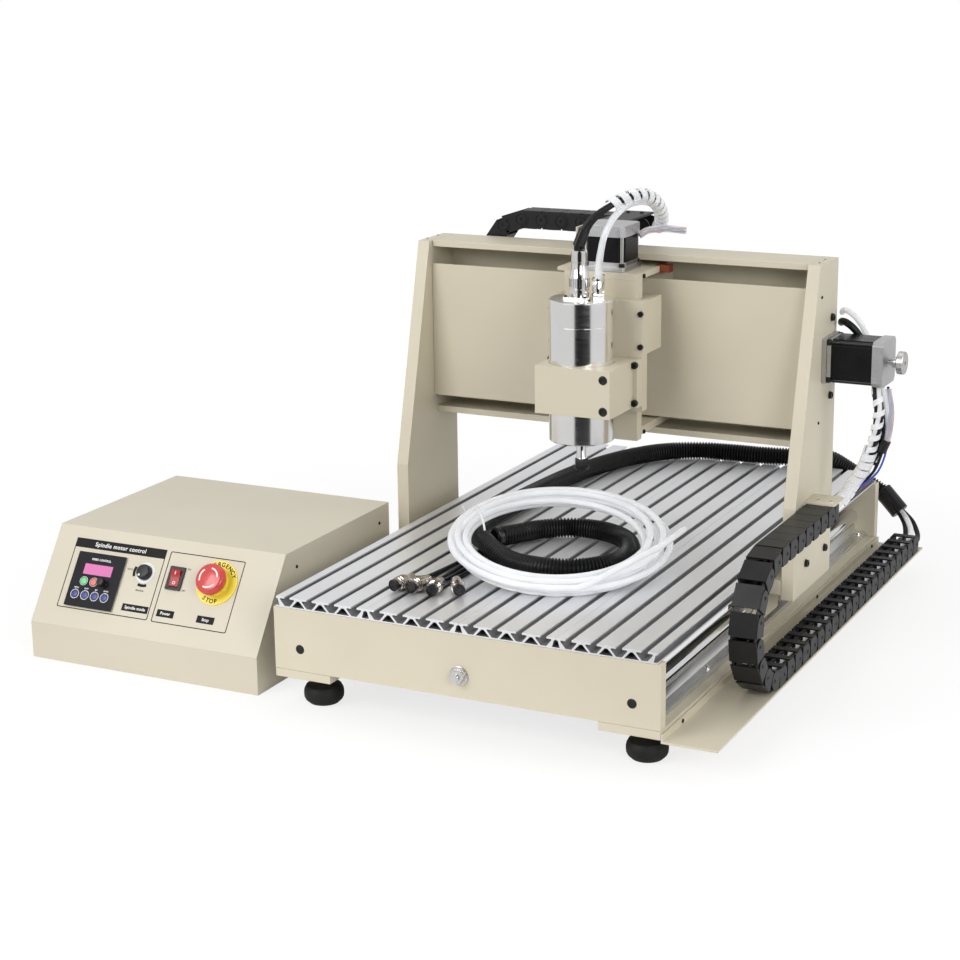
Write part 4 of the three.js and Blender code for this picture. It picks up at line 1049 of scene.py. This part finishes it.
def add_rails():
    for side, x, bar_x, heads_x in (("left", SHAFT_X[0], (-4, 70), (15, 45)),
                                    ("right", SHAFT_X[1], (410, 484), (435, 465))):
        shaft = axes((x, 15.3, SHAFT_Z), (1, 0, 0), (0, 0, -1))
        long = LENGTH - 30.6
        turned(f"linear_shaft_{side}", [[0, 0], [9.2, 0], [10, 0.8], [10, long - 0.8], [9.2, long], [0, long]],
               shaft, "base", "shaft_chrome", CHROME, f"y_shaft_{side}", 64)
        support = Piece(f"rail_support_{side}", "base", "rail_aluminium", RAIL)
        section = [(x - 22.5, 89.3), (x - 22.5, 83.5), (x - 9, 83), (x - 7, 80.5), (x - 4.8, 72.3),
                   (x + 4.8, 72.3), (x + 7, 80.5), (x + 9, 83), (x + 22.5, 83.5), (x + 22.5, 89.3)]
        support.prism(section, 15.3, LENGTH - 15.3, axes((0, 0, 0), (1, 0, 0), (0, 0, -1)))
        support.make(bevel=0.4, replaces=[f"y_rail_{side}"])
        bar = Piece(f"base_bar_{side}", "base", "frame_paint", PAINT)
        bar.box((bar_x[0], 0, -99.6), (bar_x[1], LENGTH, -89.4))
        bar.make(bevel=0.8)
        heads = Piece(f"rail_screws_{side}", "base", "screw_steel", NICKEL)
        for y in range(42, LENGTH - 20, 150):
            for head_x in heads_x:
                socket_bolt(heads, at(head_x, y, -83.4), 3.4, 3.2)
        heads.make()
    bolts = Piece("end_plate_bolts", "base", "knob_black", BLACK_BOLT, HOLE_SHADE)
    for x in SHAFT_X:
        for y, normal in ((0, FRONT_NORMAL), (LENGTH, REAR_NORMAL)):
            where = at(x + 0.5, y, SHAFT_Z, normal)
            # A dark ring round each bolt head: painted shade of the gap in the counterbore.
            bolts.lathe([[4.9, -0.3], [5.7, -0.3], [5.7, 0.06], [4.9, 0.06]], where, 1, 32)
            bolts.lathe([[0, -0.3], [4.9, -0.3], [4.9, 0.1], [4.5, 0.35], [2.9, 0.35], [2.6, 0.2, HEX],
                         [2.6, 0.12, HEX], [0, 0.12]], where, 0, 30)
    bolts.make()


def add_feet():
    for name, x, y in (("front_left", 36, 42), ("front_right", 452, 42),
                       ("rear_left", 36, 778), ("rear_right", 452, 778)):
        where = at(x, y, FLOOR)
        turned(f"rubber_foot_{name}", [[0, 0], [16.5, 0], [18, 0.6], [22.2, 4.6], [23.6, 7.4], [24, 10.5], [24, 14.5],
               [23.2, 18], [22.2, 19.4], [21.4, 21.4], [19.6, 22.6], [8, 25.6], [0, 26.8]], where, "base",
               "foot_rubber", RUBBER, f"foot_{name}", 64)
        stud = Piece(f"foot_stud_{name}", "base", "screw_steel", NICKEL)
        stud.lathe([[0, 26.5], [9, 26.5], [9, 27.4], [7.4, 27.5], [7.4, 27.6, HEX], [7.4, 31.6, HEX], [6.8, 32],
                    *threaded(32, 40, 4, 1.2, 0.5), [0, 40.1]], where, 0, 36)
        stud.make()


def add_y_drive():
    where = axes((SCREW_X, 0, SHAFT_Z), (1, 0, 0), (0, 0, -1))
    profile = [[0, -11], [3.4, -11], [4, -10.4], [4, -8.4], [8.6, -8.4, HEX], [9, -7.8, HEX], [9, -2.8, HEX],
               [8.6, -2.2, HEX], [10.8, -2.1], [11.4, -1.7], [11.4, -0.3], [5.5, -0.3], [5.5, 20],
               *threaded(20, 798, 8, 5, 0.9), [5, 798], [5, 818], [4, 818], [4, 901], [6.6, 901], [6.6, 907.5],
               [13.2, 907.5], [14, 908.3], [14, 915.2], [13.2, 916], [2.4, 916], [2.4, 914], [0, 914]]
    turned("y_ball_screw", profile, where, "y_screw", "screw_steel", STEEL, "y_screw", 48)


def stepper(name, where, length, body, node, rods=3):
    """A stepper motor from its flange at zero along the piece's own Z."""
    half = 28.2
    mid = half - 1.2
    cap = half - 0.4
    piece = Piece(name, body, "motor_black", MOTOR, CAST, NICKEL, SATIN_BLACK)

    def square(h, cut):
        return [(-h + cut, -h), (h - cut, -h), (h, -h + cut), (h, h - cut), (h - cut, h), (-h + cut, h),
                (-h, h - cut), (-h, -h + cut)]

    piece.prism(square(half, 2.2), 0, 5.6, where, 1)
    piece.prism(square(mid - 0.5, 7.2), 5.5, 11, where, 1)
    piece.prism(square(mid, 7), 11.1, length - 13.9, where, 0)
    piece.prism(square(cap, 5), length - 13.8, length - 0.2, where, 1)
    for sx in (-1, 1):
        for sy in (-1, 1):
            spot = where @ Matrix.Translation((sx * 23.57, sy * 23.57, 0))
            socket_bolt(piece, spot @ Matrix.Translation((0, 0, 5.6)), 3.7, 4.6, 3)
            piece.lathe([[0, 10], [2.3, 10], [2.3, length - 14], [0, length - 14]], spot, rods, 16)
    piece.lathe([[0, length - 0.4], [10.5, length - 0.4], [10, length], [7, length], [7, length - 0.3],
                 [0, length - 0.3]], where, 1, 32)
    return piece.make(bevel=0.45, replaces=[node])


def add_y_motor():
    where = axes((SCREW_X, 820.3, SHAFT_Z), (1, 0, 0), (0, 0, -1))
    stepper("y_stepper", where, 76, "base", "y_motor")


add_table()
add_tray_screws()
add_rails()
add_feet()
add_y_drive()
add_y_motor()

# ---- Gantry and beam -------------------------------------------------------------------
OUTER_RIGHT = 513
OUTER_LEFT = -33


def add_gantry():
    softened("gantry_left_plate", 1.1, PAINT)
    softened("gantry_right_plate", 1.1, PAINT)
    softened("gantry_base", 0.8, PAINT)
    softened("beam_top_plate", 0.7, PAINT)
    softened("beam_channel", 0.5, PAINT)
    softened("beam_cover", 0.35, PAINT)
    black = Piece("side_plate_bolts", "gantry", "knob_black", BLACK_BOLT, HOLE_SHADE)
    for x, normal in ((OUTER_RIGHT, RIGHT_NORMAL), (OUTER_LEFT, LEFT_NORMAL)):
        for y, z in ((480.5, 284.1), (480.6, 186.3), (403.3, -9.4), (476.9, -9.6)):
            where = at(x, y, z, normal)
            # A dark ring round each bolt head: painted shade of the gap in the counterbore.
            black.lathe([[4.5, -0.3], [5.2, -0.3], [5.2, 0.06], [4.5, 0.06]], where, 1, 28)
            socket_bolt(black, where, 4.5, 3.8, 0)
        for y, z in ((438.1, 315.5), (437.9, 159.9)):
            phillips(black, at(x, y, z, normal), 2.0)
    black.make()
    bright = Piece("beam_screws", "gantry", "screw_steel", NICKEL, HOLE_SHADE)
    for x, y in ((-28, 476.5), (506, 470), (-28, 447), (506, 447)):
        phillips(bright, at(x, y, 355), 2.7)
    bright.make()


def add_x_drive():
    for place_name, z in (("lower", 180), ("upper", 292)):
        where = axes((-16.7, 470, z), (0, 1, 0), (0, 0, 1))
        turned(f"cross_shaft_{place_name}", [[0, 0], [8, 0], [8, 513.4], [0, 513.4]], where, "gantry",
               "shaft_chrome", CHROME, f"x_shaft_{place_name}", 48)
    where = axes((0, 472, 236), (0, 1, 0), (0, 0, 1))
    profile = [[0, -32], [5, -32], [5, 0], *threaded(0, 485, 8, 5, 0.9), [5, 485], [5, 511.3], [4, 511.3],
               [4, 594], [6.6, 594], [6.6, 600.5], [13.2, 600.5], [14, 601.3], [14, 608.2], [13.2, 609],
               [2.4, 609], [2.4, 607], [0, 607]]
    turned("x_ball_screw", profile, where, "x_screw", "screw_steel", STEEL, "x_screw", 48)
    stepper("x_stepper", axes((513.3, 472, 236), (0, 1, 0), (0, 0, 1)), 76, "gantry", "x_motor")


add_gantry()
add_x_drive()

# ---- Energy chains ------------------------------------------------------------------------
PITCH = 28.4
HALF_WIDTH = 17
HALF_HEIGHT = 12


def rounded_end(y0, y1, half, steps=8):
    """A side plate seen from the side: y along the chain, square at y0 and round at y1."""
    centre = y1 - half
    points = [(y0, half), (y0, -half)]
    for i in range(steps + 1):
        angle = math.radians(-90 + 180 * i / steps)
        points.append((centre + half * math.cos(angle), half * math.sin(angle)))
    return points


def closed_link(piece, where, short=0.0):
    """A link with smooth covers outside and open crossbars inside: X across, Y along, Z outwards."""
    half = PITCH / 2 - short
    for side in (-1, 1):
        flank = where @ Matrix(((0, 0, side, 0), (1, 0, 0, 0), (0, side, 0, 0), (0, 0, 0, 1)))
        piece.prism(rounded_end(-half + 0.4, half - 2, 11.2), 14.6, 16.9, flank, 0)
        piece.prism(rounded_end(-half - 6, half - 8, 9.8), 13, 14.9, flank, 0)
        piece.lathe([[0, 16.6], [2.6, 16.6], [2.6, 17.05], [1.9, 17.05], [1.9, 16.9], [0, 16.9]],
                    flank @ Matrix.Translation((half - 11, 0, 0)), 0, 16)
    piece.box((-16.4, -half + 0.5, 10.4), (16.4, half - 0.5, 12), where, 0)
    piece.box((-14.5, -half + 5, 9.4), (14.5, half - 5, 10.6), where, 0)
    piece.box((-16.2, -5.5, -12), (16.2, 5.5, -10.2), where, 0)
    piece.box((-1, -5, -10.5), (1, 5, 10), where, 0)


def disc_link(piece, where):
    """A covered link with a large round pivot on each flank: X across, Y along, Z outwards."""
    half = PITCH / 2
    for side in (-1, 1):
        flank = where @ Matrix(((0, 0, side, 0), (1, 0, 0, 0), (0, side, 0, 0), (0, 0, 0, 1)))
        piece.prism(rounded_end(-half + 2, half + 9, 10.6), 13.2, 15, flank, 0)
        piece.prism([(-half + 1, 11.8), (-half + 1, -11.8), (half - 1, -11.8), (half - 1, 11.8)],
                    14.8, 16.3, flank, 0)
        pivot = flank @ Matrix.Translation((half, 0, 0))
        piece.lathe([[0, 14], [9.6, 14], [9.6, 16.6], [9.2, 17], [8, 17], [7.8, 16.2], [7, 16.2],
                     [6.8, 17], [2.2, 17], [2.2, 15.8], [0, 15.8]], pivot, 0, 32)
    piece.box((-16.2, -half + 0.6, 10.6), (16.2, half - 0.6, 12), where, 0)
    piece.box((-16.2, -6, -12), (16.2, 6, -10.2), where, 0)


def run_links(name, ends, link, slot, material, along, across, outward, replaced):
    """Links from one end to the other of a straight run, in one piece without a body, its transform baked."""
    start, end = (Vector(p) for p in ends)
    count = max(1, math.floor((end - start).length / PITCH + 0.02))
    piece = Piece(name, None, slot, material)
    for k in range(count):
        centre = start + Vector(along) * PITCH * (k + 0.5)
        link(piece, chain_axes(centre, along, outward))
    thing = piece.make(bevel=0.4, replaces=replaced)
    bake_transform(thing)


def chain_axes(centre, along, outward):
    y = Vector(along).normalized()
    z = Vector(outward).normalized()
    turn = Matrix((y.cross(z), y, z)).transposed().to_4x4()
    return Matrix.Translation(place(*centre)) @ turn @ UNIT


Y_CHAIN_X = 532.5
Y_BEND = (205, -15.2)
Y_PIVOT_RADIUS = 73
Y_BEND_LINKS = 8


def add_y_chain():
    run_links("y_chain_lower", ((Y_CHAIN_X, Y_BEND[0], -88.2), (Y_CHAIN_X, 801, -88.2)), closed_link, "chain_black",
              CHAIN, (0, 1, 0), None, (0, 0, -1),
              ["y_chain_fixed"])
    run_links("y_chain_upper", ((Y_CHAIN_X, Y_BEND[0], 57.8), (Y_CHAIN_X, 404, 57.8)), closed_link, "chain_black",
              CHAIN, (0, 1, 0), None, (0, 0, 1), [])
    curve = Piece("y_chain_curve", "y_chain_bend", "chain_black", CHAIN)
    step = math.pi / Y_BEND_LINKS
    reach = Y_PIVOT_RADIUS * math.cos(step / 2)
    for k in range(Y_BEND_LINKS):
        angle = math.pi / 2 + (k + 0.5) * step
        outward = (0, math.cos(angle), math.sin(angle))
        along = (0, math.sin(angle), -math.cos(angle))
        centre = (Y_CHAIN_X, Y_BEND[0] + reach * math.cos(angle), Y_BEND[1] + reach * math.sin(angle))
        closed_link(curve, chain_axes(centre, along, outward))
    curve.make(bevel=0.4, replaces=["y_chain_bend"])
    head = Piece("y_chain_bracket", "gantry", "frame_paint", PAINT, BLACK_BOLT, CHAIN, NICKEL)
    head.box((513.3, 390, 69.9), (551.5, 430, 72.3))
    head.box((513.3, 386.3, 52), (515.3, 424, 70.5))
    head.box((516.5, 405, 46.5), (519, 419, 69.6), material=2)
    head.box((546, 405, 46.5), (548.5, 419, 69.6), material=2)
    head.box((516.5, 405, 46.2), (548.5, 411, 48.4), material=2)
    for x in (527.5, 543.5):
        # Nickel heads whose crosses are in the black bolt finish: painted shade in the recesses.
        phillips(head, at(x, 402, 72.2), 3.1, 3, 1)
    head.make(bevel=0.35, replaces=["y_chain_moving"])
    cables = Piece("y_chain_cables", None, "lead_black", SHEATH, MILKY)
    for x, material in ((523, 0), (531, 1), (540, 0)):
        line = [place(x, 206 + 594 * k / 40, -87) for k in range(41)]
        cables.sweep(line, [3.4 * MM] * len(line), 10, material)
    lower = cables.make()
    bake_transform(lower)


X_CHAIN_Y = 525
X_BEND = (80, 332)
X_PIVOT_RADIUS = 46
X_BEND_LINKS = 5


def add_x_chain():
    run_links("x_chain_lower", ((X_BEND[0], X_CHAIN_Y, 286), (300, X_CHAIN_Y, 286)), disc_link, "chain_grey",
              GREY_CHAIN, (1, 0, 0), None, (0, 0, -1),
              ["x_chain_fixed"])
    run_links("x_chain_upper", ((X_BEND[0], X_CHAIN_Y, 378), (251, X_CHAIN_Y, 378)), disc_link, "chain_grey",
              GREY_CHAIN, (1, 0, 0), None, (0, 0, 1),
              [])
    curve = Piece("x_chain_curve", "x_chain_bend", "chain_grey", GREY_CHAIN)
    step = math.pi / X_BEND_LINKS
    reach = X_PIVOT_RADIUS * math.cos(step / 2)
    for k in range(X_BEND_LINKS):
        angle = math.pi / 2 + (k + 0.5) * step
        outward = (math.cos(angle), 0, math.sin(angle))
        along = (math.sin(angle), 0, -math.cos(angle))
        centre = (X_BEND[0] + reach * math.cos(angle), X_CHAIN_Y, X_BEND[1] + reach * math.sin(angle))
        disc_link(curve, chain_axes(centre, along, outward))
    curve.make(bevel=0.4, replaces=["x_chain_bend"])
    head = Piece("x_chain_bracket", "carriage", "frame_paint", PAINT, BLACK_BOLT, GREY_CHAIN)
    head.box((214, 382, 340.3), (216.4, 438, 392.5))
    head.box((214, 437, 389.6), (253, 542, 392.4), material=2)
    for x in (224, 243):
        socket_bolt(head, at(x, 525, 392.3), 2.6, 1.9, 1)
    head.make(bevel=0.35, replaces=["x_chain_moving"])


add_y_chain()
add_x_chain()

# ---- Carriage, Z axis and spindle ---------------------------------------------------------
AXIS_X = 252


def add_carriage():
    softened("carriage_frame", 0.8, PAINT)
    rods = Piece("z_guide_rods", "carriage", "shaft_chrome", CHROME)
    for dx in (-32, 32):
        rods.lathe([[0, 145.9], [6.15, 145.9], [6.15, 332.6], [0, 332.6]], at(AXIS_X + dx, 404, 0), 0, 40)
    rods.make()
    turned("z_lead_screw", [[0, 149], [4.6, 149], [5, 149.4], [5, 160], *threaded(160, 322, 6, 4, 0.7), [5, 322],
           [5, 338], [4, 338], [4, 360], [0, 360]], at(AXIS_X, 406, 0), "z_screw", "screw_steel", STEEL, "z_screw", 36)
    stepper("z_stepper", at(AXIS_X, 406, 340.3), 56, "carriage", "z_motor", 2)
    bolts = Piece("carriage_bolts", "carriage", "knob_black", BLACK_BOLT, ORANGE, NICKEL)
    for x, normal in ((301, RIGHT_NORMAL), (203, LEFT_NORMAL)):
        for y, z in ((390.3, 335.6), (393.7, 138.7)):
            socket_bolt(bolts, at(x, y, z, normal), 2.8, 2.2)
    bolts.box((297, 443, 332), (314, 456, 341.5), material=1)
    bolts.make(bevel=0.5)


def add_slide():
    softened("z_slide_plate", 1.0, PAINT)
    clamp = Piece("spindle_clamp_block", "spindle_slide", "frame_paint", PAINT)
    outline = [(209.5, 269.5), (308, 269.5), (308, 340), (314, 340), (314, 356.7), (196, 356.7), (196, 340),
               (209.5, 340)]
    clamp.plate(outline, [circle(AXIS_X, SPINDLE_Y, 40.4, 96)], 181, 240)
    clamp.make(bevel=0.9, replaces=["spindle_clamp"])
    bolts = Piece("slide_bolts", "spindle_slide", "knob_black", BLACK_BOLT, HOLE_SHADE)
    for z in (294.6, 253.8):
        for x in (192.6, 311.6):
            socket_bolt(bolts, at(x, 357, z, FRONT_NORMAL), 3.6, 3.6)
    for z in (190.1, 228.6):
        where = at(299.2, 269.5, z, FRONT_NORMAL)
        # A dark ring round each bolt head: painted shade of the gap in the counterbore.
        bolts.lathe([[4.9, -0.3], [5.6, -0.3], [5.6, 0.06], [4.9, 0.06]], where, 1, 28)
        socket_bolt(bolts, where, 4.8, 1.2)
    for x in (311.4, 200.1):
        for z in (187.4, 234.6):
            socket_bolt(bolts, at(x, 340, z, FRONT_NORMAL), 4.3, 4.6)
    bolts.make()


SPINDLE_Y = 314
SPINDLE_TOP = 317.5


def add_spindle():
    body = Piece("spindle_housing", "spindle_slide", "spindle_steel", SPINDLE, NICKEL, BLACK_BOLT)
    where = at(AXIS_X, SPINDLE_Y, 0)
    body.lathe([[0, 154], [7.2, 154], [7.2, 142.5], [38.6, 142.5], [40, 143.9], [40, 286.4], [39.8, 286.6],
                [39.8, 287], [40, 287.2], [40, 316.3], [38.8, 317.5], [0, 317.5]], where, 0, 128)
    socket = at(AXIS_X - 2, SPINDLE_Y - 2, 0)
    body.prism(rounded_box(-16, 16, -16, 16, 2.4), SPINDLE_TOP - 0.2, SPINDLE_TOP + 3.4, socket, 1)
    body.lathe([[0, 321], [11.6, 321], [11.6, 325], [12.5, 325.6], [12.5, 329], [11.4, 329.6], [11.4, 330.6],
                [12.4, 331.2], [12.4, 343], [11.6, 344], [10.4, 352], [9.6, 354], [9.6, 362], [10, 362.6],
                [10, 374.6], [9, 376], [0, 376]], socket, 1, 48)
    for k in range(28):
        knurl = socket @ Matrix.Rotation(k / 28 * 2 * math.pi, 4, "Z")
        body.box((12.2, -0.5, 332), (12.75, 0.5, 342.4), knurl, 1)
    for sx in (-12.6, 12.6):
        for sy in (-12.6, 12.6):
            socket_bolt(body, socket @ Matrix.Translation((sx, sy, SPINDLE_TOP + 3.4)), 1.9, 1.6, 2)
    for dx, dy in ((22, -2), (15, 19)):
        spot = at(AXIS_X + dx, SPINDLE_Y + dy, 0)
        body.lathe([[0, 317], [6, 317, HEX], [6.4, 317.6, HEX], [6.4, 324.4, HEX], [6, 325, HEX], [5.4, 325.2],
                    [5.4, 327], [6.6, 327.6], [6.6, 339], [6, 340], [6, 341], [7, 341.4], [7, 343.4], [6.4, 344],
                    [0, 344]], spot, 1, 36)
    body.make(bevel=0.15, replaces=["spindle_body"])
    rotor = Piece("collet_nut", "rotor", "screw_steel", BLACK_BOLT, CHROME, NICKEL)
    rotor.lathe([[3, 104.2], [7.6, 104.2], [8.2, 104.6], [9.5, 107], [9.5, 109], [9.2, 109.3, HEX],
                 [9.2, 116.6, HEX], [8.6, 117.6, HEX], [6.6, 118.6]], where, 0, 48)
    rotor.lathe([[6.6, 118.6], [6.4, 119], [6.4, 153.5], [0, 153.5], [0, 124.5], [3, 124.5], [3, 104.2]],
                where, 1, 48)
    rotor.make(replaces=["spindle_rotor"])


add_carriage()
add_slide()
add_spindle()

# ---- Control box ---------------------------------------------------------------------------
PANEL = axes((-383, 23.5, -92), (1, 0, 0), (0, 0.5668, 0.8238))


def on_panel(u, v, w=0.0, turn=0.0):
    return PANEL @ Matrix.Translation((u, v, w)) @ Matrix.Rotation(math.radians(turn), 4, "Z")


def outline_frame(piece, u0, u1, v0, v1, width, material):
    piece.plate(rounded_box(u0, u1, v0, v1, 2.4),
                [rounded_box(u0 + width, u1 - width, v0 + width, v1 - width, 1.6)], 0, 0.16, PANEL, material)


KEYS = [
    ("key_start", 62, 61, GREEN, "key_green"), ("key_stop", 77, 61, PINK_RED, "key_red"),
    ("key_1", 54.3, 43, BLUE, "key_blue"), ("key_2", 69.5, 43, BLUE, "key_blue"),
    ("key_3", 84.5, 43, BLUE, "key_blue"), ("key_4", 99.5, 43, BLUE, "key_blue"),
]
DISC = (253.3, 84)
ROCKER = (193, 82)
MODE = (147, 83.4)
SPEED = (92.3, 61)


def add_case():
    softened("control_case", 1.0, CASE)
    print_ = Piece("panel_print", "base", "knob_black", DARK_INK, WHITE_INK)
    outline_frame(print_, 31, 169, 24, 116.6, 1.1, 0)
    outline_frame(print_, 175, 285, 23.5, 116, 1.1, 0)
    print_.prism(rounded_box(31, 169, 104.6, 116.8, 0.5), 0, 0.2, PANEL, 0)
    print_.text("Spindle motor control", 7.6, on_panel(100, 110.6, 0.2), 1, 0.022, 1.12)
    for words, u, v, half in (("Spindle mode", 147, 36.4, 19.5), ("Power", 192.7, 36, 12.5), ("Stop", 251.7, 36, 12.5)):
        print_.prism(rounded_box(u - half, u + half, v - 4.6, v + 4.6, 0.4), 0, 0.2, PANEL, 0)
        print_.text(words, 5.4, on_panel(u, v, 0.2), 1, 0.02, 1.05)
    for words, place_of, shift, size in (("AUTO", MODE, (-24, 2), 3), ("MANUAL", MODE, (-1, -23.4), 3),
                                         ("ON", ROCKER, (15.5, 14), 3), ("OFF", ROCKER, (15.5, -14), 3)):
        print_.text(words, size, on_panel(place_of[0] + shift[0], place_of[1] + shift[1]), 0, 0.02)
    for start in (158, 248):
        print_.plate(arc_band(MODE, 15, 18.6, start, start + 44), [], 0, 0.2, PANEL, 0)
    print_.make()
    keypad = Piece("keypad_face", "base", "knob_black", GLOSS_BLACK, DISPLAY, WHITE_INK)
    holes = [circle(u, v, 5.1) for _, u, v, _, _ in KEYS] + [circle(*SPEED, 3.0)]
    keypad.plate(rounded_box(42.4, 115, 27, 99, 0.8), holes, 2, 2.7, PANEL, 0)
    keypad.prism(rounded_box(57, 99.5, 70.2, 84, 0.4), 2.5, 2.8, PANEL, 1)
    keypad.text("SPEED CONTROL", 3.6, on_panel(79, 90.4, 2.7), 2, 0.03, 1.05)
    for (_, u, v, _, _), word in zip(KEYS[2:], ("MENU", "SHIFT", "SET", "ENTER")):
        keypad.plate(circle(u, v, 6.2), [circle(u, v, 5.5)], 2.6, 2.85, PANEL, 2)
        keypad.text(word, 2.5, on_panel(u, v + 8.4, 2.7), 2, 0.02)
    for _, u, v, _, _ in KEYS[:2]:
        keypad.plate(circle(u, v, 5.9), [circle(u, v, 5.4)], 2.6, 2.85, PANEL, 2)
    keypad.make()


def add_keys():
    for name, u, v, material, slot in KEYS:
        turned(f"{name}_cap", [[0, -3], [4.6, -3], [4.6, 2.8], [4.2, 3.4], [3.2, 3.7], [0, 3.75]], on_panel(u, v),
               name, slot, material, name, 32)


def add_knobs():
    mode = Piece("mode_knob_cap", "mode_knob", "knob_black", SATIN_BLACK, WHITE_INK)
    where = on_panel(*MODE)
    mode.lathe([[0, -5], [3, -5], [3, 0.4], [9.6, 0.4], [9.8, 1.2], [9.8, 5.6], [9.2, 7.4], [7.8, 8.6], [0, 9]],
               where, 0, 48)
    mode.lathe([[0, 8.4], [1.5, 8.4], [1.5, 9.15], [0, 9.15]],
               where @ Matrix.Rotation(math.radians(240), 4, "Z") @ Matrix.Translation((6.2, 0, 0)), 1, 20)
    mode.make(replaces=["mode_knob"])
    ring = Piece("mode_scale", "base", "wrap_white", WHITE_INK)
    ring.plate(circle(*MODE, 13.4, 48), [circle(*MODE, 10.2, 48)], 0, 0.8, PANEL, 0)
    ring.make()
    speed = Piece("speed_knob_cap", "speed_knob", "knob_black", SATIN_BLACK)
    where = on_panel(*SPEED)
    speed.lathe([[0, -5], [2.6, -5], [2.6, 2.9], [6, 2.9], [6, 4], [5.2, 4.6], [4.8, 11.6], [4.2, 12.4], [0, 12.6]],
                where, 0, 32)
    for k in range(14):
        rib = where @ Matrix.Rotation(k / 14 * 2 * math.pi, 4, "Z")
        speed.box((4.6, -0.35, 4.6), (5.4, 0.35, 11.4), rib, 0)
    speed.make(replaces=["speed_knob"])


def add_rocker():
    where = on_panel(*ROCKER)
    bezel = Piece("rocker_bezel", "base", "knob_black", SATIN_BLACK)
    bezel.plate(rounded_box(-11, 11, -15.2, 15.2, 0.8), [rounded_box(-6.9, 6.9, -11.6, 11.6, 0.4)],
                0, 2.2, where, 0)
    bezel.make(bevel=0.4)
    rocker = Piece("rocker_cap", "rocker_switch", "switch_red", DEEP_RED, WHITE_INK)
    side = where @ Matrix(((0, 0, 1, 0), (1, 0, 0, 0), (0, 1, 0, 0), (0, 0, 0, 1)))
    rocker.prism([(-10.5, -5), (10.5, -5), (10.5, 5.5), (5, 3.9), (0, 2.6), (-5, 2.3), (-10.5, 2.4)],
                 -6.5, 6.5, side, 0)
    rocker.box((-0.5, 4.6, 3.7), (0.5, 8.4, 4.98), where, 1)
    rocker.plate(circle(0, -6, 2.2, 24), [circle(0, -6, 1.4, 24)], 2.2, 2.5, where, 1)
    rocker.make(replaces=["rocker_switch"])


def arc_band(centre, inner, outer, start, end, steps=20):
    points = []
    for radius, order in ((outer, range(steps + 1)), (inner, range(steps, -1, -1))):
        for i in order:
            angle = math.radians(start + (end - start) * i / steps)
            points.append((centre[0] + radius * math.cos(angle), centre[1] + radius * math.sin(angle)))
    return points


def curved_words(piece, words, radius, middle, size, where, material, inward=False):
    """Lettering around a circle, its middle letter at that angle."""
    step = size * 0.78 / radius
    for i, letter in enumerate(words):
        offset = (i - (len(words) - 1) / 2) * step
        angle = math.radians(middle) + (offset if inward else -offset)
        turn = angle + (math.pi / 2 if inward else -math.pi / 2)
        spot = Matrix.Translation((radius * math.cos(angle), radius * math.sin(angle), 0))
        piece.text(letter, size, where @ spot @ Matrix.Rotation(turn, 4, "Z"), material, 0.03)


def add_stop_button():
    where = on_panel(*DISC)
    disc = Piece("stop_disc", "base", "switch_red", YELLOW, DARK_INK, SATIN_BLACK)
    disc.plate(circle(0, 0, 28.5, 72), [circle(0, 0, 13.2, 40)], 0, 1.4, where, 0)
    disc.plate(circle(0, 0, 16, 40), [circle(0, 0, 10.6, 40)], 1.2, 5.4, where, 0)
    face = where @ Matrix.Translation((0, 0, 1.4))
    curved_words(disc, "EMERGENCY", 23.9, 84, 7.6, face, 1)
    curved_words(disc, "STOP", 23.9, 262, 7.6, face, 1, True)
    disc.make()
    button = Piece("stop_mushroom", "estop_button", "switch_red", RED, WHITE_INK)
    button.lathe([[0, -12], [10, -12], [10, 11], [17, 11], [19.2, 12], [20, 14], [20, 16.5], [19.4, 19.4],
                  [17.8, 21.4], [15.6, 22.4], [0, 22.6]], where, 0, 64)
    for k in range(3):
        turn = where @ Matrix.Rotation(math.radians(120 * k + 10), 4, "Z")
        button.plate(arc_band((0, 0), 11.4, 13.3, 0, 74), [], 22, 22.85, turn, 1)
    button.make(replaces=["estop_button"])


def add_case_details():
    details = Piece("case_details", "base", "knob_black", RUBBER, BLACK_BOLT, DARK_INK, NICKEL)
    for x in (-383 + 26, -46 - 26):
        for y in (23.5 + 30, 356.5 - 30):
            details.lathe([[0, 0.1], [9, 0.1], [9.6, 0.8], [9.2, 3.2], [0, 3.2]], at(x, y, FLOOR), 0, 24)
    for z in (-118, -5):
        for y in (60 + (10 if z < -50 else 62), 330):
            # These black screws have crosses in the dark ink material: painted shade in the recesses.
            phillips(details, at(-46, y, z, RIGHT_NORMAL), 2.3, 1, 2)
    vent = at(-293, 356.5, -60, REAR_NORMAL)
    for radius in (9, 18, 27, 33.4):
        details.plate(circle(0, 0, radius, 40), [circle(0, 0, radius - 1.5, 40)], -1.6, 0.6, vent, 3)
    for k in range(4):
        spoke = vent @ Matrix.Rotation(math.radians(45 + 90 * k), 4, "Z")
        details.box((4, -0.8, -1.2), (37, 0.8, 0.2), spoke, 3)
        details.lathe([[0, -0.5], [3, -0.5], [3, 1.2], [0, 1.2]], spoke @ Matrix.Translation((37.5, 0, 0)), 3, 16)
    details.make()


add_case()
add_keys()
add_knobs()
add_rocker()
add_stop_button()
add_case_details()
